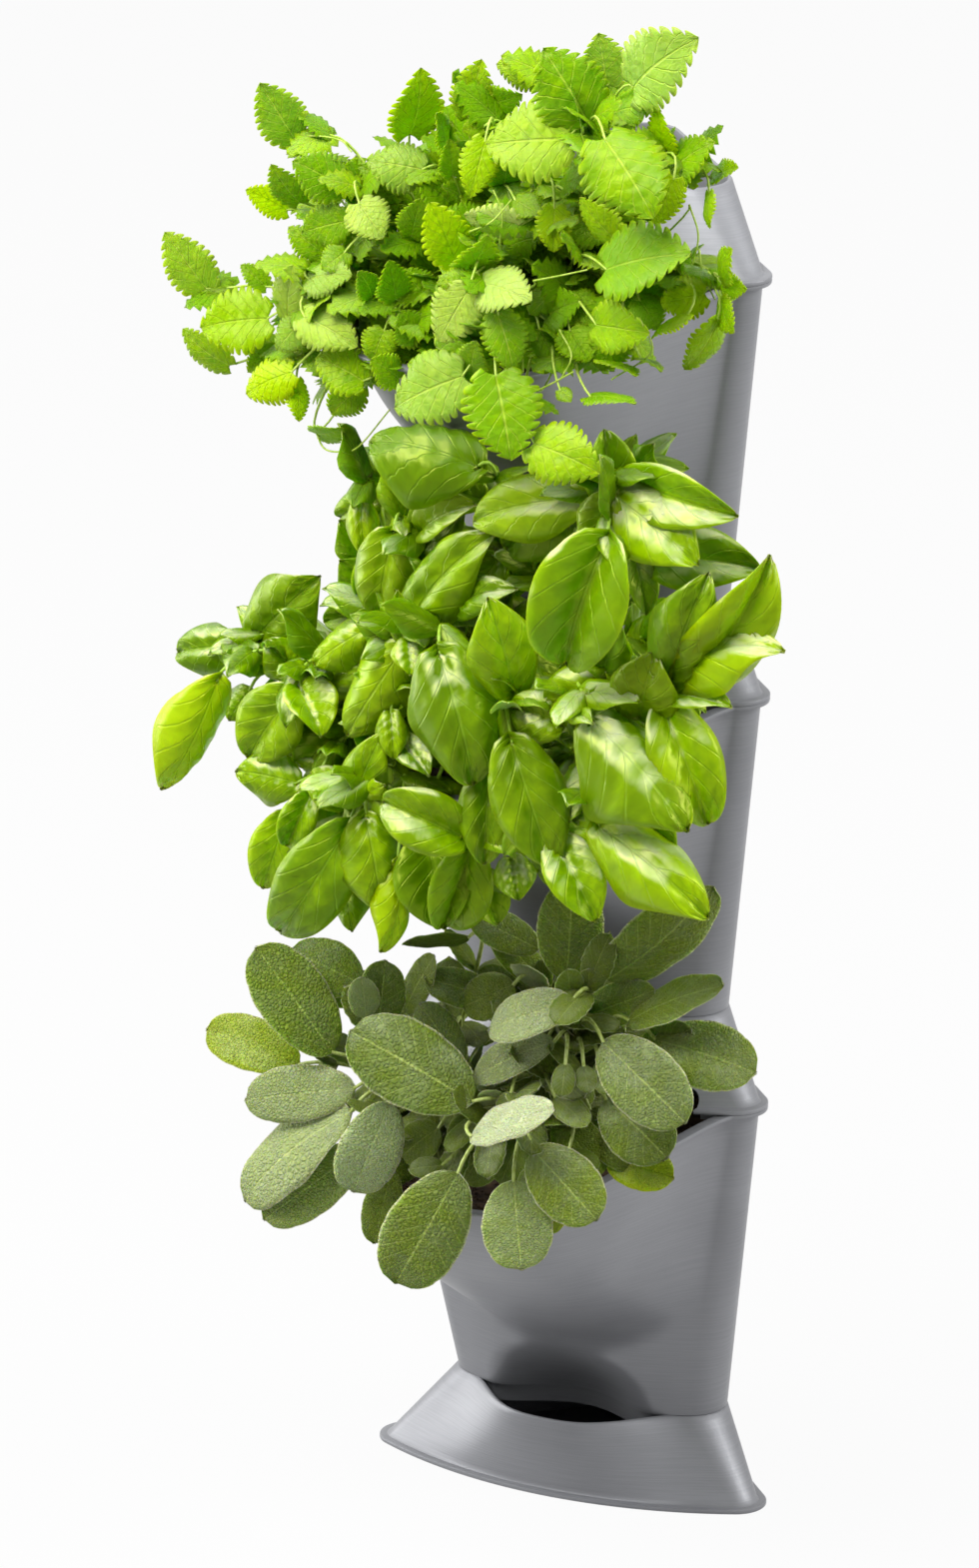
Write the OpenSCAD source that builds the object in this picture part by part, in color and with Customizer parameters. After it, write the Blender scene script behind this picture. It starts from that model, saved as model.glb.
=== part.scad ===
// Corner planter: three pots stacked in a room's corner, each with a pocket at the front that a herb grows from.
// The corner's walls run from the origin along (1, -1) and (-1, -1), +Z is up and the front faces -Y.
// The plan of every rim is a quarter circle's slice: two straight back edges and a bowed front.

/* [Stack] */
// Height from one pot's rim to the next
pitch = 250; // [245:5:300]
// Height of the foot and of each cover
skirt_h = 46; // [42:2:56]

/* [Flange] */
// Back edges of the flange, measured to the sharp corner
flange_leg = 195; // [190:5:215]
// Radius of the flange's bowed front
flange_front_r = 265; // [255:5:290]
// Radius of the flange's two front corners
flange_corner_r = 18; // [14:1:22]
// Radius of the flange's back corner
flange_back_r = 26; // [16:2:34]
// How far the flange stands out from the wall
flange_out = 5; // [4:0.5:7]
// Thickness of the flange
flange_t = 2.6; // [2:0.2:3.6]

/* [Collar] */
// Back edges of the collar that a pot stands on, measured to the sharp corner
collar_leg = 150; // [146:2:160]
// Gap that the collar's back edges keep from the room's walls
collar_inset = 8; // [7:0.5:10]
// Radius of the collar's bowed front
collar_front_r = 167; // [160:1:180]
// Radius of the collar's two front corners
collar_corner_r = 22; // [18:1:26]
// Radius of the collar's back corner
collar_back_r = 20; // [12:2:26]
// How far the collar swells forward of the pot's foot
collar_out = 26; // [16:1:30]
// Half the width of that swell
collar_half_w = 70; // [62:1:74]

/* [Pocket] */
// How far the pocket stands out in front of the pot's wall
pocket_out = 134; // [100:2:150]
// Half the width of the pocket at the rim
pocket_half_w = 112; // [100:1:114]
// How far the rim dips at the pocket's front
rim_dip = 22; // [14:1:26]
// Height at which the pocket starts to swell, at its middle
pocket_z = 90; // [84:1:110]
// How much higher it starts at its sides
pocket_side_rise = 23; // [15:1:30]

/* [Niche] */
// Depth of the dent over the collar's swell
niche_depth = 26; // [16:1:28]
// Height of the dent
niche_h = 36; // [26:1:38]
// Half the width of the dent, at the rim's scale
niche_half_w = 76; // [60:1:80]

/* [Walls and fits] */
// Wall of a pot
pot_wall = 2.4; // [2:0.1:3]
// Wall of the foot and of the covers
skirt_wall = 2.2; // [2:0.1:2.8]
// Depth of a pot's foot in the collar below it
plug_h = 12; // [8:1:16]
// Clearance round a pot's foot in its collar
plug_gap = 0.6; // [0.4:0.1:1]
// Depth of a cover's locating ring in the pot's mouth
ring_h = 6; // [4:1:8]
// Wall of the locating ring
ring_wall = 2; // [1.6:0.2:2.6]
// Clearance round the locating ring
ring_gap = 0.4; // [0.3:0.1:0.8]
// Half the width of the opening in a cover's front
slot_half_w = 93; // [80:1:95]
// Height of that opening
slot_h = 12; // [9:1:16]
// Radius of the opening's top corners
slot_corner_r = 8; // [4:1:9]

/* [Wall screws] */
// Radius of a screw hole
screw_r = 2.6; // [2:0.1:3]
// Radius of the boss round it
boss_r = 7; // [6:0.5:7.5]
// Length of the hole, through wall and boss
boss_len = 6; // [5:0.5:9]
// Distance of the hole from the sharp back corner, along the wall
screw_along = 95; // [70:5:120]
// Distance of the hole below the rim
screw_drop = 14; // [14:1:16]

/* [Water and soil] */
// Gap between the tray and the collar that it lifts out through
tray_gap = 3; // [2:0.5:5]
// Height of the drip tray
tray_h = 22; // [14:1:24]
// Wall of the drip tray
tray_wall = 1.8; // [1.4:0.2:2.6]
// Radius of a drain hole in a pot's floor
drain_r = 3; // [2:0.5:4]
// Radius of the ring of drain holes
drain_ring_r = 26; // [20:1:34]
// Thickness of the drain grid
grid_t = 2; // [1.6:0.2:3]
// Radius of a hole in the grid
grid_hole_r = 2.4; // [1.6:0.2:3]
// Distance from one grid hole to the next
grid_step = 14; // [11:1:20]
// How far the soil stays below the rim
soil_drop = 35; // [30:1:60]
// Clearance round the soil and the grid
soil_gap = 0.8; // [0.6:0.1:1.2]

/* [Herbs] */
// Distance of the herbs' crowns from the room's corner
crown_back = 230; // [222:2:240]
// Radius of a crown
crown_r = 9; // [7:1:12]
// Radius of a stalk
stalk_r = 1.2; // [0.8:0.1:1.6]
// Thickness of a leaf
leaf_t = 1.6; // [1.2:0.1:2]
// Length of a sage leaf
sage_leaf = 74; // [56:2:80]
// Length of a basil leaf
basil_leaf = 60; // [46:2:66]
// Length of a lemon balm leaf
balm_leaf = 46; // [36:2:52]
// Reach of the herbs' stems; the leaves' places in the herbs' modules are written for 100
stem_reach = 100; // [80:2:108]

/* [Hidden] */
corner_steps = 3;
back_steps = 3;
front_steps = 20;
front_first = 2 * (corner_steps + 1) + back_steps + 1;
hub = [0, -95];
// Shares of the height from foot to rim at which the pot's surface has a ring, the first five round the niche
shares = [0, 0.065, 0.115, 0.145, 0.17, 0.24, 0.34, 0.46, 0.58, 0.7, 0.8, 0.92];
swell_power = 2.5;
belly_power = 1.6;
collar_power = 1.6;
dent_power = 1.1;
floor_t = pot_wall;
step_z = skirt_h + floor_t;
plug_z = skirt_h - plug_h;
soil_z = pitch - soil_drop;
cut = 1;
slot_from_y = -118;
screw_z = pitch - screw_drop;
drain_holes = 6;
crown_h = 0.6 * crown_r;
stem_rise = 0.32 * stem_reach;
leaf_droop = 0.8;
// Leaf lengths that the leaves in the herbs' modules are drawn for
sage_drawn = 74;
basil_drawn = 60;
leaf_face = [0.35, -0.8, 0.5];
grey = [0.56, 0.57, 0.59];
soil_brown = [0.2, 0.14, 0.1];
sage_green = [0.42, 0.5, 0.32];
basil_green = [0.36, 0.6, 0.15];
balm_green = [0.5, 0.72, 0.15];

// Plan outlines, anticlockwise from the right front corner

function arc_points(centre, r, from, to, steps) =
    [for (i = [0:steps]) let (a = from + (to - from) * i / steps) centre + r * [cos(a), sin(a)]];

function slice_plan(leg, front_r, corner_r, back_r, inset) =
    let (
        reach = leg / sqrt(2),
        front_y = -reach + sqrt(front_r * front_r - reach * reach),
        k = (corner_r + inset) / sqrt(2),
        c = k * k + pow(k + front_y, 2) - pow(front_r - corner_r, 2),
        u = (-front_y + sqrt(front_y * front_y - 2 * c)) / 2,
        corner_c = [u - k, -u - k],
        a0 = atan2(corner_c.y - front_y, corner_c.x),
        right = arc_points(corner_c, corner_r, a0, 45, corner_steps),
        back = arc_points([0, -(inset + back_r) * sqrt(2)], back_r, 45, 135, back_steps),
        left = [for (i = [corner_steps:-1:0]) [-right[i].x, right[i].y]],
        bow = arc_points([0, front_y], front_r, -180 - a0, a0, front_steps)
    )
    concat(right, back, left, [for (i = [1:front_steps - 1]) bow[i]]);

// The outline moved inward by d, along the normal at each point
function inward(ring, d) =
    let (n = len(ring))
    [for (i = [0:n - 1]) let (e = ring[(i + 1) % n] - ring[(i + n - 1) % n]) ring[i] + d * [-e.y, e.x] / norm(e)];

function at_height(ring, z) = [for (p = ring) [p.x, p.y, z]];

flange_plan = slice_plan(flange_leg, flange_front_r, flange_corner_r, flange_back_r, 0);
rim_plan = inward(flange_plan, flange_out);
foot_plan = slice_plan(collar_leg, collar_front_r, collar_corner_r, collar_back_r, collar_inset);

// The collar's outline is the foot's, swollen forward at its middle
function collar_swell(x) =
    abs(x) < collar_half_w ? collar_out * pow(cos(90 * pow(abs(x) / collar_half_w, collar_power)), 2) : 0;
collar_plan = [for (i = [0:len(foot_plan) - 1])
    foot_plan[i] - [0, i >= front_first ? collar_swell(foot_plan[i].x) : 0]];

// The plain taper from foot to rim
function taper_point(i, z) = foot_plan[i] + (rim_plan[i] - foot_plan[i]) * (z - skirt_h) / (pitch - skirt_h);
function taper_level(z) = [for (i = [0:len(rim_plan) - 1]) taper_point(i, z)];

// The pot's outer surface: it widens from foot to rim, with the pocket's swell and the niche's dent at the front

function pocket_share(i) =
    let (s = abs(rim_plan[i].x) / pocket_half_w)
    i >= front_first && s < 1 ? pow(cos(90 * pow(s, swell_power)), 2) : 0;

function rim_z(i) = pitch - rim_dip * pocket_share(i);

function wall_point(i, z) =
    let (
        p = taper_point(i, z),
        s = abs(rim_plan[i].x) / pocket_half_w,
        belly_z = pocket_z + pocket_side_rise * min(s, 1) * min(s, 1),
        tau = min(1, max(0, (z - belly_z) / (rim_z(i) - belly_z))),
        out = pocket_out * pocket_share(i) * (1 - pow(1 - tau, belly_power)),
        r2 = pow(rim_plan[i].x / niche_half_w, 2) + pow((z - skirt_h) / niche_h, 2),
        dent = i >= front_first && r2 < 1 ? niche_depth * pow(1 - r2, dent_power) : 0
    )
    [p.x, p.y - out + dent];

function wall_level(z) = [for (i = [0:len(rim_plan) - 1]) wall_point(i, z)];

// A ring of the pot's surface at share v of the height from foot to rim, moved in by d and down by drop
function wall_ring(v, d, drop = 0) =
    let (
        heights = [for (i = [0:len(rim_plan) - 1]) skirt_h + (rim_z(i) - drop - skirt_h) * v],
        ring = inward([for (i = [0:len(rim_plan) - 1]) wall_point(i, heights[i])], d)
    )
    [for (i = [0:len(ring) - 1]) [ring[i].x, ring[i].y, heights[i]]];

// Solids through rings of points

// The strip between two rings; lean picks which way its squares are halved
function strip_faces(n, from, to, lean = false) =
    [for (i = [0:n - 1]) let (j = (i + 1) % n) each lean ? [
        [from * n + i, to * n + i, from * n + j],
        [to * n + i, to * n + j, from * n + j],
    ] : [
        [from * n + i, to * n + i, to * n + j],
        [from * n + i, to * n + j, from * n + j],
    ]];

// A closed solid through the rings, capped at both ends round the hub
module loft(rings, lean = false) {
    n = len(rings[0]);
    count = len(rings);
    first_hub = n * count;
    points = concat([for (r = rings) each r], [
        [hub.x, hub.y, rings[0][0].z],
        [hub.x, hub.y, rings[count - 1][0].z],
    ]);
    sides = [for (k = [0:count - 2]) each strip_faces(n, k, k + 1, lean)];
    first_cap = [for (i = [0:n - 1]) [first_hub, i, (i + 1) % n]];
    last_cap = [for (i = [0:n - 1]) [first_hub + 1, (count - 1) * n + (i + 1) % n, (count - 1) * n + i]];
    polyhedron(points, concat(sides, first_cap, last_cap), convexity = 8);
}

// A closed frame: the last ring joins the first
module frame_loft(rings) {
    n = len(rings[0]);
    count = len(rings);
    faces = [for (k = [0:count - 1]) each strip_faces(n, k, (k + 1) % count)];
    polyhedron([for (r = rings) each r], faces, convexity = 8);
}

module level(k) {
    translate([0, 0, k * pitch]) children();
}

// Foot, tray and covers

module foot() {
    color(grey)
    loft([
        at_height(flange_plan, 0),
        at_height(flange_plan, flange_t),
        at_height(rim_plan, flange_t),
        at_height(collar_plan, skirt_h),
        at_height(inward(collar_plan, skirt_wall), skirt_h),
        at_height(inward(rim_plan, skirt_wall), flange_t),
    ]);
}

module drip_tray() {
    outer = inward(foot_plan, skirt_wall + tray_gap);
    color(grey)
    translate([0, 0, flange_t])
    difference() {
        linear_extrude(tray_h) polygon(outer);
        translate([0, 0, tray_wall]) linear_extrude(tray_h) polygon(inward(outer, tray_wall));
    }
}

// The opening in a cover's front, over the pocket
module front_slot() {
    slot_top = slot_h - slot_corner_r;
    translate([0, slot_from_y, 0])
    rotate([90, 0, 0])
    linear_extrude(crown_back)
    union() {
        translate([-slot_half_w, -ring_h - cut]) square([2 * slot_half_w, slot_top + ring_h + cut]);
        translate([-slot_half_w + slot_corner_r, 0]) square([2 * (slot_half_w - slot_corner_r), slot_h]);
        for (x = [-1, 1])
            translate([x * (slot_half_w - slot_corner_r), slot_top]) circle(slot_corner_r, $fn = 32);
    }
}

module cover() {
    gap = pot_wall + ring_gap;
    ring_foot = taper_level(pitch - ring_h);
    color(grey)
    difference() {
        frame_loft([
            at_height(flange_plan, 0),
            at_height(flange_plan, flange_t),
            at_height(rim_plan, flange_t),
            at_height(collar_plan, skirt_h),
            at_height(inward(collar_plan, skirt_wall), skirt_h),
            at_height(inward(rim_plan, gap + ring_wall), flange_t),
            at_height(inward(ring_foot, gap + ring_wall), -ring_h),
            at_height(inward(ring_foot, gap), -ring_h),
            at_height(inward(rim_plan, gap), 0),
        ]);
        front_slot();
    }
}

module cover_lower() {
    level(1) cover();
}

module cover_middle() {
    level(2) cover();
}

module cover_upper() {
    level(3) cover();
}

// Pots

// Puts a cylinder's axis square to the right-hand room wall, from the pot's outer face inward
module on_back_wall() {
    inset = collar_inset + (flange_out - collar_inset) * (screw_z - skirt_h) / (pitch - skirt_h);
    rotate([0, 0, 45])
    translate([-inset, -screw_along, screw_z])
    rotate([0, -90, 0])
    children();
}

module pot() {
    plug = inward(wall_level(skirt_h), skirt_wall + plug_gap);
    plug_in = inward(plug, pot_wall);
    count = len(shares);
    color(grey)
    difference() {
        union() {
            loft(concat(
                [at_height(plug, plug_z), at_height(plug, skirt_h)],
                [for (v = shares) wall_ring(v, 0)],
                [wall_ring(1, 0, flange_t), wall_ring(1, -flange_out, flange_t), wall_ring(1, -flange_out)],
                [wall_ring(1, pot_wall)],
                [for (k = [count - 1:-1:1]) wall_ring(shares[k], pot_wall)],
                [at_height(inward(wall_level(step_z), pot_wall), step_z)],
                [at_height(plug_in, step_z), at_height(plug_in, plug_z + floor_t)]
            ));
            for (side = [0, 1])
                mirror([side, 0, 0])
                on_back_wall()
                translate([0, 0, pot_wall / 2])
                cylinder(r = boss_r, h = boss_len - pot_wall / 2, $fn = 48);
        }
        for (side = [0, 1])
            mirror([side, 0, 0])
            on_back_wall()
            translate([0, 0, -flange_out])
            cylinder(r = screw_r, h = boss_len + flange_out + cut, $fn = 48);
        translate([hub.x, hub.y + flange_out, plug_z - cut])
        for (i = [0:drain_holes - 1])
            rotate([0, 0, i * 360 / drain_holes])
            translate([drain_ring_r, 0, 0])
            cylinder(r = drain_r, h = floor_t + 2 * cut, $fn = 32);
    }
}

module pot_lower() {
    level(0) pot();
}

module pot_middle() {
    level(1) pot();
}

module pot_upper() {
    level(2) pot();
}

// Drain grid and soil

module drain_grid() {
    plate = inward(wall_level(step_z), pot_wall + soil_gap);
    rows = [-2, -1, 0, 1];
    color("dimgray")
    translate([0, 0, step_z])
    difference() {
        linear_extrude(grid_t) polygon(plate);
        for (row = rows, column = [-2 - row / 2 : 2 + row / 2])
            translate([column * grid_step, hub.y - row * grid_step, -cut])
            cylinder(r = grid_hole_r, h = grid_t + 2 * cut, $fn = 24);
    }
}

module soil() {
    inset = pot_wall + soil_gap;
    bottom_z = step_z + grid_t;
    color(soil_brown)
    loft(concat(
        [at_height(inward(wall_level(bottom_z), inset), bottom_z)],
        [for (k = [1:len(shares) - 2]) wall_ring(shares[k], inset)],
        [at_height(inward(wall_level(soil_z), inset), soil_z)]
    ), lean = true);
}

module drain_grid_lower() {
    level(0) drain_grid();
}

module drain_grid_middle() {
    level(1) drain_grid();
}

module drain_grid_upper() {
    level(2) drain_grid();
}

module soil_lower() {
    level(0) soil();
}

module soil_middle() {
    level(1) soil();
}

module soil_upper() {
    level(2) soil();
}

// Herbs: each is one crown with stalks to its leaves

function unit(v) = v / norm(v);

// A flat leaf from its stalk's end to its tip
module leaf(from, to, w) {
    along = unit(to - from);
    across = unit(cross(along, leaf_face)) * w / 2;
    down = -leaf_t * unit(cross(across, along));
    low = from + 0.35 * (to - from);
    high = from + 0.75 * (to - from);
    edge = [from, low - across, high - 0.8 * across, to, high + 0.8 * across, low + across];
    n = len(edge);
    top = [for (i = [0:n - 1]) i];
    bottom = [for (i = [n - 1:-1:0]) n + i];
    sides = [for (i = [0:n - 1]) let (j = (i + 1) % n) [j, i, n + i, n + j]];
    polyhedron(concat(edge, [for (p = edge) p + down]), concat([top, bottom], sides));
}

// A three-sided stalk through points that lie in one upright plane
module stalk(points) {
    n = len(points);
    side = unit(cross(points[n - 1] - points[0], [0, 0, 1]));
    corners = [for (i = [0:n - 1])
        let (up = unit(cross(side, points[min(i + 1, n - 1)] - points[max(i - 1, 0)])))
        for (turn = [90, 210, 330])
            points[i] + stalk_r * (cos(turn) * side + sin(turn) * up)];
    sides = [for (i = [0:n - 2], k = [0:2])
        [3 * i + k, 3 * i + (k + 1) % 3, 3 * i + 3 + (k + 1) % 3, 3 * i + 3 + k]];
    polyhedron(corners, concat([[2, 1, 0], [for (k = [0:2]) 3 * (n - 1) + k]], sides));
}

// A stalk from the crown that rises over the pocket's rim and ends where its leaf starts
module stem(root, base) {
    knees = [for (share = [0.2, 0.8])
        let (p = root + share * (base - root)) [p.x, p.y, max(p.z, root.z + stem_rise)]];
    stalk([root, knees[0], knees[1], base]);
}

// A stem with a leaf whose middle is at tip, and a smaller pair below it
module sprig(root, tip, size, width) {
    heading = unit(tip - root - [0, 0, leaf_droop * size]);
    base = tip - heading * size / 2;
    side = unit(cross(heading, [0, 0, 1]));
    stem(root, base);
    leaf(base - heading * stalk_r, tip + heading * size / 2, width);
    for (hand = [-1, 1])
        leaf(base - heading * stalk_r, base + unit(hand * side + 0.4 * heading) * 0.6 * size, 0.6 * width);
}

// A plant's crown on the soil; stems start halfway up it
module crown(x) {
    translate([stem_reach / 100 * x, -crown_back, soil_z]) {
        cylinder(r = crown_r, h = crown_h, $fn = 8);
        translate([0, 0, crown_h / 2]) children();
    }
}

// A plant of small leaves in threes
module bushy(x, tips, size, width) {
    crown(x)
        for (tip = tips)
            sprig([0, 0, 0], stem_reach / 100 * tip, size, width);
}

// A plant of large leaves, one to a stem. Each leaf is the place of its stem's end and the way from there
// to its tip.
module leafy(x, leaves, size, ratio) {
    crown(x)
        for (place = leaves) {
            base = stem_reach / 100 * place[0];
            way = size * place[1];
            stem([0, 0, 0], base);
            leaf(base - stalk_r * unit(way), base + way, ratio * norm(way));
        }
}

module sage_left() {
    leaves = [
        [[-40, -55, 85], [-43, -12, 61]], [[-33, -30, 120], [-40, -12, 18]], [[-75, -32, 65], [-60, -4, 14]],
        [[-22, -62, 70], [-70, -4, -20]], [[-20, -70, 60], [-74, 0, -64]], [[-18, -62, 35], [-60, -8, -53]],
        [[15, -88, 78], [-20, -6, -58]], [[10, -80, 30], [-16, -8, -45]], [[-8, -60, 108], [10, -8, 47]],
        [[3, -50, 118], [22, -6, 40]],
    ];
    color(sage_green) level(0) leafy(-35, leaves, sage_leaf / sage_drawn, 0.55);
}

module sage_right() {
    leaves = [
        [[32, -55, 158], [8, -5, 62]], [[58, -60, 163], [74, -9, 66]], [[76, -65, 143], [62, -7, 38]],
        [[42, -50, 136], [50, -14, 26]], [[70, -88, 138], [54, -3, -38]], [[88, -58, 132], [65, -3, -8]],
        [[67, -76, 98], [40, -4, -27]], [[63, -66, 60], [47, -8, 0]], [[52, -88, 160], [-48, -9, -23]],
        [[34, -75, 127], [-46, -9, -26]], [[5, -122, 80], [57, -9, 32]], [[37, -108, 75], [43, -5, -34]],
        [[30, -118, 58], [8, -6, -50]], [[36, -80, 96], [27, -12, -8]], [[6, -40, 166], [-42, -3, 14]],
        [[7, -32, 140], [-32, -10, 38]], [[-7, -115, 55], [-38, -6, -74]], [[-5, -100, 92], [-72, -8, 33]],
    ];
    color(sage_green) level(0) leafy(45, leaves, sage_leaf / sage_drawn, 0.55);
}

module basil_left() {
    leaves = [
        [[-98, -32, 65], [-38, -2, -8]], [[-90, -25, 68], [48, -8, 46]], [[8, -70, 103], [-30, -10, -24]],
        [[0, -60, 150], [18, -14, -40]], [[-95, -60, 55], [-30, -5, -76]], [[-40, -70, 60], [-26, -9, -43]],
        [[-34, -75, 62], [20, -10, -22]], [[-34, -75, 6], [-40, -4, 2]], [[14, -100, 6], [20, -5, 50]],
        [[-45, -70, -16], [-12, -8, -46]], [[20, -115, 3], [-46, -4, -72]], [[30, -114, 10], [17, -12, -53]],
        [[45, -112, -17], [-3, -10, -52]], [[42, -90, 104], [-36, 0, -58]], [[-24, -60, 58], [32, -5, 20]],
    ];
    color(basil_green) level(1) leafy(-50, leaves, basil_leaf / basil_drawn, 0.52);
}

module basil_centre() {
    leaves = [
        [[28, -65, 208], [-68, -5, 6]], [[-7, -85, 114], [56, -4, 65]], [[27, -114, 115], [28, -10, -72]],
        [[46, -120, 8], [-52, -2, 14]], [[8, -95, -6], [12, -3, -50]], [[70, -105, 93], [-12, -8, 56]],
        [[76, -122, 73], [28, -2, -72]], [[54, -105, 48], [0, -8, -55]], [[39, -100, -4], [-13, -4, -48]],
        [[100, -105, 80], [-27, -12, 10]], [[125, -95, 102], [-36, -9, -12]], [[79, -70, 28], [-43, -11, -12]],
        [[-9, -60, 130], [30, -6, -25]], [[32, -50, 152], [-30, -3, -40]],
    ];
    color(basil_green) level(1) leafy(0, leaves, basil_leaf / basil_drawn, 0.52);
}

module basil_right() {
    leaves = [
        [[60, -90, 210], [-72, -2, -23]], [[32, -70, 192], [-24, -10, -22]], [[80, -105, 220], [-9, -9, -30]],
        [[78, -100, 218], [56, -3, -33]], [[82, -85, 222], [66, -5, -13]], [[64, -75, 207], [1, -10, 43]],
        [[86, -120, 200], [-27, -1, -78]], [[113, -100, 113], [26, -6, 68]], [[117, -85, 113], [60, -2, 72]],
        [[112, -90, 111], [73, -12, 33]], [[84, -60, 167], [70, -10, 13]], [[62, -85, 95], [16, -6, 46]],
        [[9, -50, 152], [38, -12, 26]], [[98, -105, 92], [9, -2, 40]], [[77, -125, 95], [64, -5, -55]],
        [[113, -105, 100], [32, -9, -61]], [[57, -114, 15], [27, -5, -42]], [[80, -122, 31], [72, -8, -39]],
        [[72, -100, 45], [52, -12, -30]],
    ];
    color(basil_green) level(1) leafy(50, leaves, basil_leaf / basil_drawn, 0.52);
}

module lemon_balm_left() {
    tips = [
        [-120, -50, 45], [-95, -60, 20], [-60, -95, 5], [-60, -40, 135], [-65, -50, 95],
        [-25, -60, 110], [-15, -105, 10], [-10, -40, 80], [0, -60, 120],
    ];
    color(balm_green) level(2) bushy(-50, tips, balm_leaf, 0.75 * balm_leaf);
}

module lemon_balm_centre() {
    tips = [
        [-20, -50, 160], [15, -50, 170], [40, -40, 190], [40, -40, 145], [5, -105, 20], [5, -55, 60],
        [30, -110, 5], [65, -110, 0],
    ];
    color(balm_green) level(2) bushy(0, tips, balm_leaf, 0.75 * balm_leaf);
}

module lemon_balm_right() {
    tips = [
        [35, -40, 195], [70, -25, 190], [50, -30, 135], [90, -30, 140], [100, -10, 130],
        [65, -25, 85], [105, -10, 60], [95, -20, 35], [75, -65, 15],
    ];
    color(balm_green) level(2) bushy(50, tips, balm_leaf, 0.75 * balm_leaf);
}

foot();
drip_tray();
pot_lower();
drain_grid_lower();
soil_lower();
sage_left();
sage_right();
cover_lower();
pot_middle();
drain_grid_middle();
soil_middle();
basil_left();
basil_centre();
basil_right();
cover_middle();
pot_upper();
drain_grid_upper();
soil_upper();
lemon_balm_left();
lemon_balm_centre();
lemon_balm_right();
cover_upper();
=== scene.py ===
# Looks of the vertical corner planter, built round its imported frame

import math
import bpy
import numpy as np
from mathutils import Matrix, Vector


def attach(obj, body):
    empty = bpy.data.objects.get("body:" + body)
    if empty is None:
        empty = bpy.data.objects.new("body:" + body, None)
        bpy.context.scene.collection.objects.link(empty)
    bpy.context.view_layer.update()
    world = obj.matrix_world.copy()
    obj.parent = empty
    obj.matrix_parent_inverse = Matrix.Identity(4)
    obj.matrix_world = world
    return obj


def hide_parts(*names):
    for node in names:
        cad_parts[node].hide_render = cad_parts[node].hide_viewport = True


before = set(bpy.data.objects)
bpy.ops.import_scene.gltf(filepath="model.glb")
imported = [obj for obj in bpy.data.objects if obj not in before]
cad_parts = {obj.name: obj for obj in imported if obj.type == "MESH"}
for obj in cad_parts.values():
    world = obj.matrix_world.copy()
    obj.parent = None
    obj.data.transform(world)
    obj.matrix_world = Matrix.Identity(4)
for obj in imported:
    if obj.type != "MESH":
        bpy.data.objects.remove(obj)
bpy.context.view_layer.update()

levels = ["lower", "middle", "upper"]
print("frame loaded")

# Camera, as fitted to the photograph

camera = {
    "azimuth": 28.0, "elevation": 19.8, "roll": -0.2,      # degrees
    "distance": 6926.0, "target": (-45.1, -149.0, 426.3),  # millimetres
    "focalPixels": 12000.0, "photoWidth": 980, "photoHeight": 1569,
    "sensor": 36.0, "farthest": 100.0,
}


def viewAxes():
    a, e, roll = (math.radians(camera[key]) for key in ("azimuth", "elevation", "roll"))
    back = np.array([math.sin(a) * math.cos(e), -math.cos(a) * math.cos(e), math.sin(e)])
    right = np.array([math.cos(a), math.sin(a), 0.0])
    up = np.cross(back, right)
    turnedRight = math.cos(roll) * right + math.sin(roll) * up
    turnedUp = -math.sin(roll) * right + math.cos(roll) * up
    return turnedRight, turnedUp, back


viewRight, viewUp, viewBack = viewAxes()
eye = np.array(camera["target"]) + camera["distance"] * viewBack


def makeCamera():
    data = bpy.data.cameras.new("photoView")
    data.lens = camera["focalPixels"] * camera["sensor"] / camera["photoHeight"]
    data.sensor_width = camera["sensor"]
    data.clip_end = camera["farthest"]
    viewer = bpy.data.objects.new("photoView", data)
    bpy.context.scene.collection.objects.link(viewer)
    turn = Matrix([viewRight, viewUp, viewBack]).transposed().to_4x4()
    turn.translation = Vector(eye) / 1000
    viewer.matrix_world = turn
    bpy.context.scene.camera = viewer


# Where a pixel of the photograph meets the plane at this depth in front of the room's corner
def fromPhoto(photoX, photoY, depth):
    across = (photoX - camera["photoWidth"] / 2) / camera["focalPixels"]
    down = (photoY - camera["photoHeight"] / 2) / camera["focalPixels"]
    ray = across * viewRight - down * viewUp - viewBack
    return eye + ray * (-depth - eye[1]) / ray[1]


# Nodes


# One socket of a node, so that shader maths reads as an expression
class Wire:
    def __init__(self, nodes, socket):
        self.nodes, self.socket = nodes, socket

    def maths(self, operation, *values):
        return self.nodes.add("ShaderNodeMath", {"operation": operation}, dict(enumerate(values)))

    def __add__(self, other):
        return self.maths("ADD", self, other)

    def __radd__(self, other):
        return self.maths("ADD", other, self)

    def __sub__(self, other):
        return self.maths("SUBTRACT", self, other)

    def __rsub__(self, other):
        return self.maths("SUBTRACT", other, self)

    def __mul__(self, other):
        return self.maths("MULTIPLY", self, other)

    def __rmul__(self, other):
        return self.maths("MULTIPLY", other, self)

    def __pow__(self, other):
        return self.maths("POWER", self, other)

    def __abs__(self):
        return self.maths("ABSOLUTE", self)

    def part(self):
        return self.maths("FRACT", self)

    def most(self, other):
        return self.maths("MAXIMUM", self, other)

    # 0 below low, 1 above high, smooth between
    def step(self, low, high):
        settings = {"interpolation_type": "SMOOTHSTEP"}
        return self.nodes.add("ShaderNodeMapRange", settings, {0: self, 1: low, 2: high})


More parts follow.
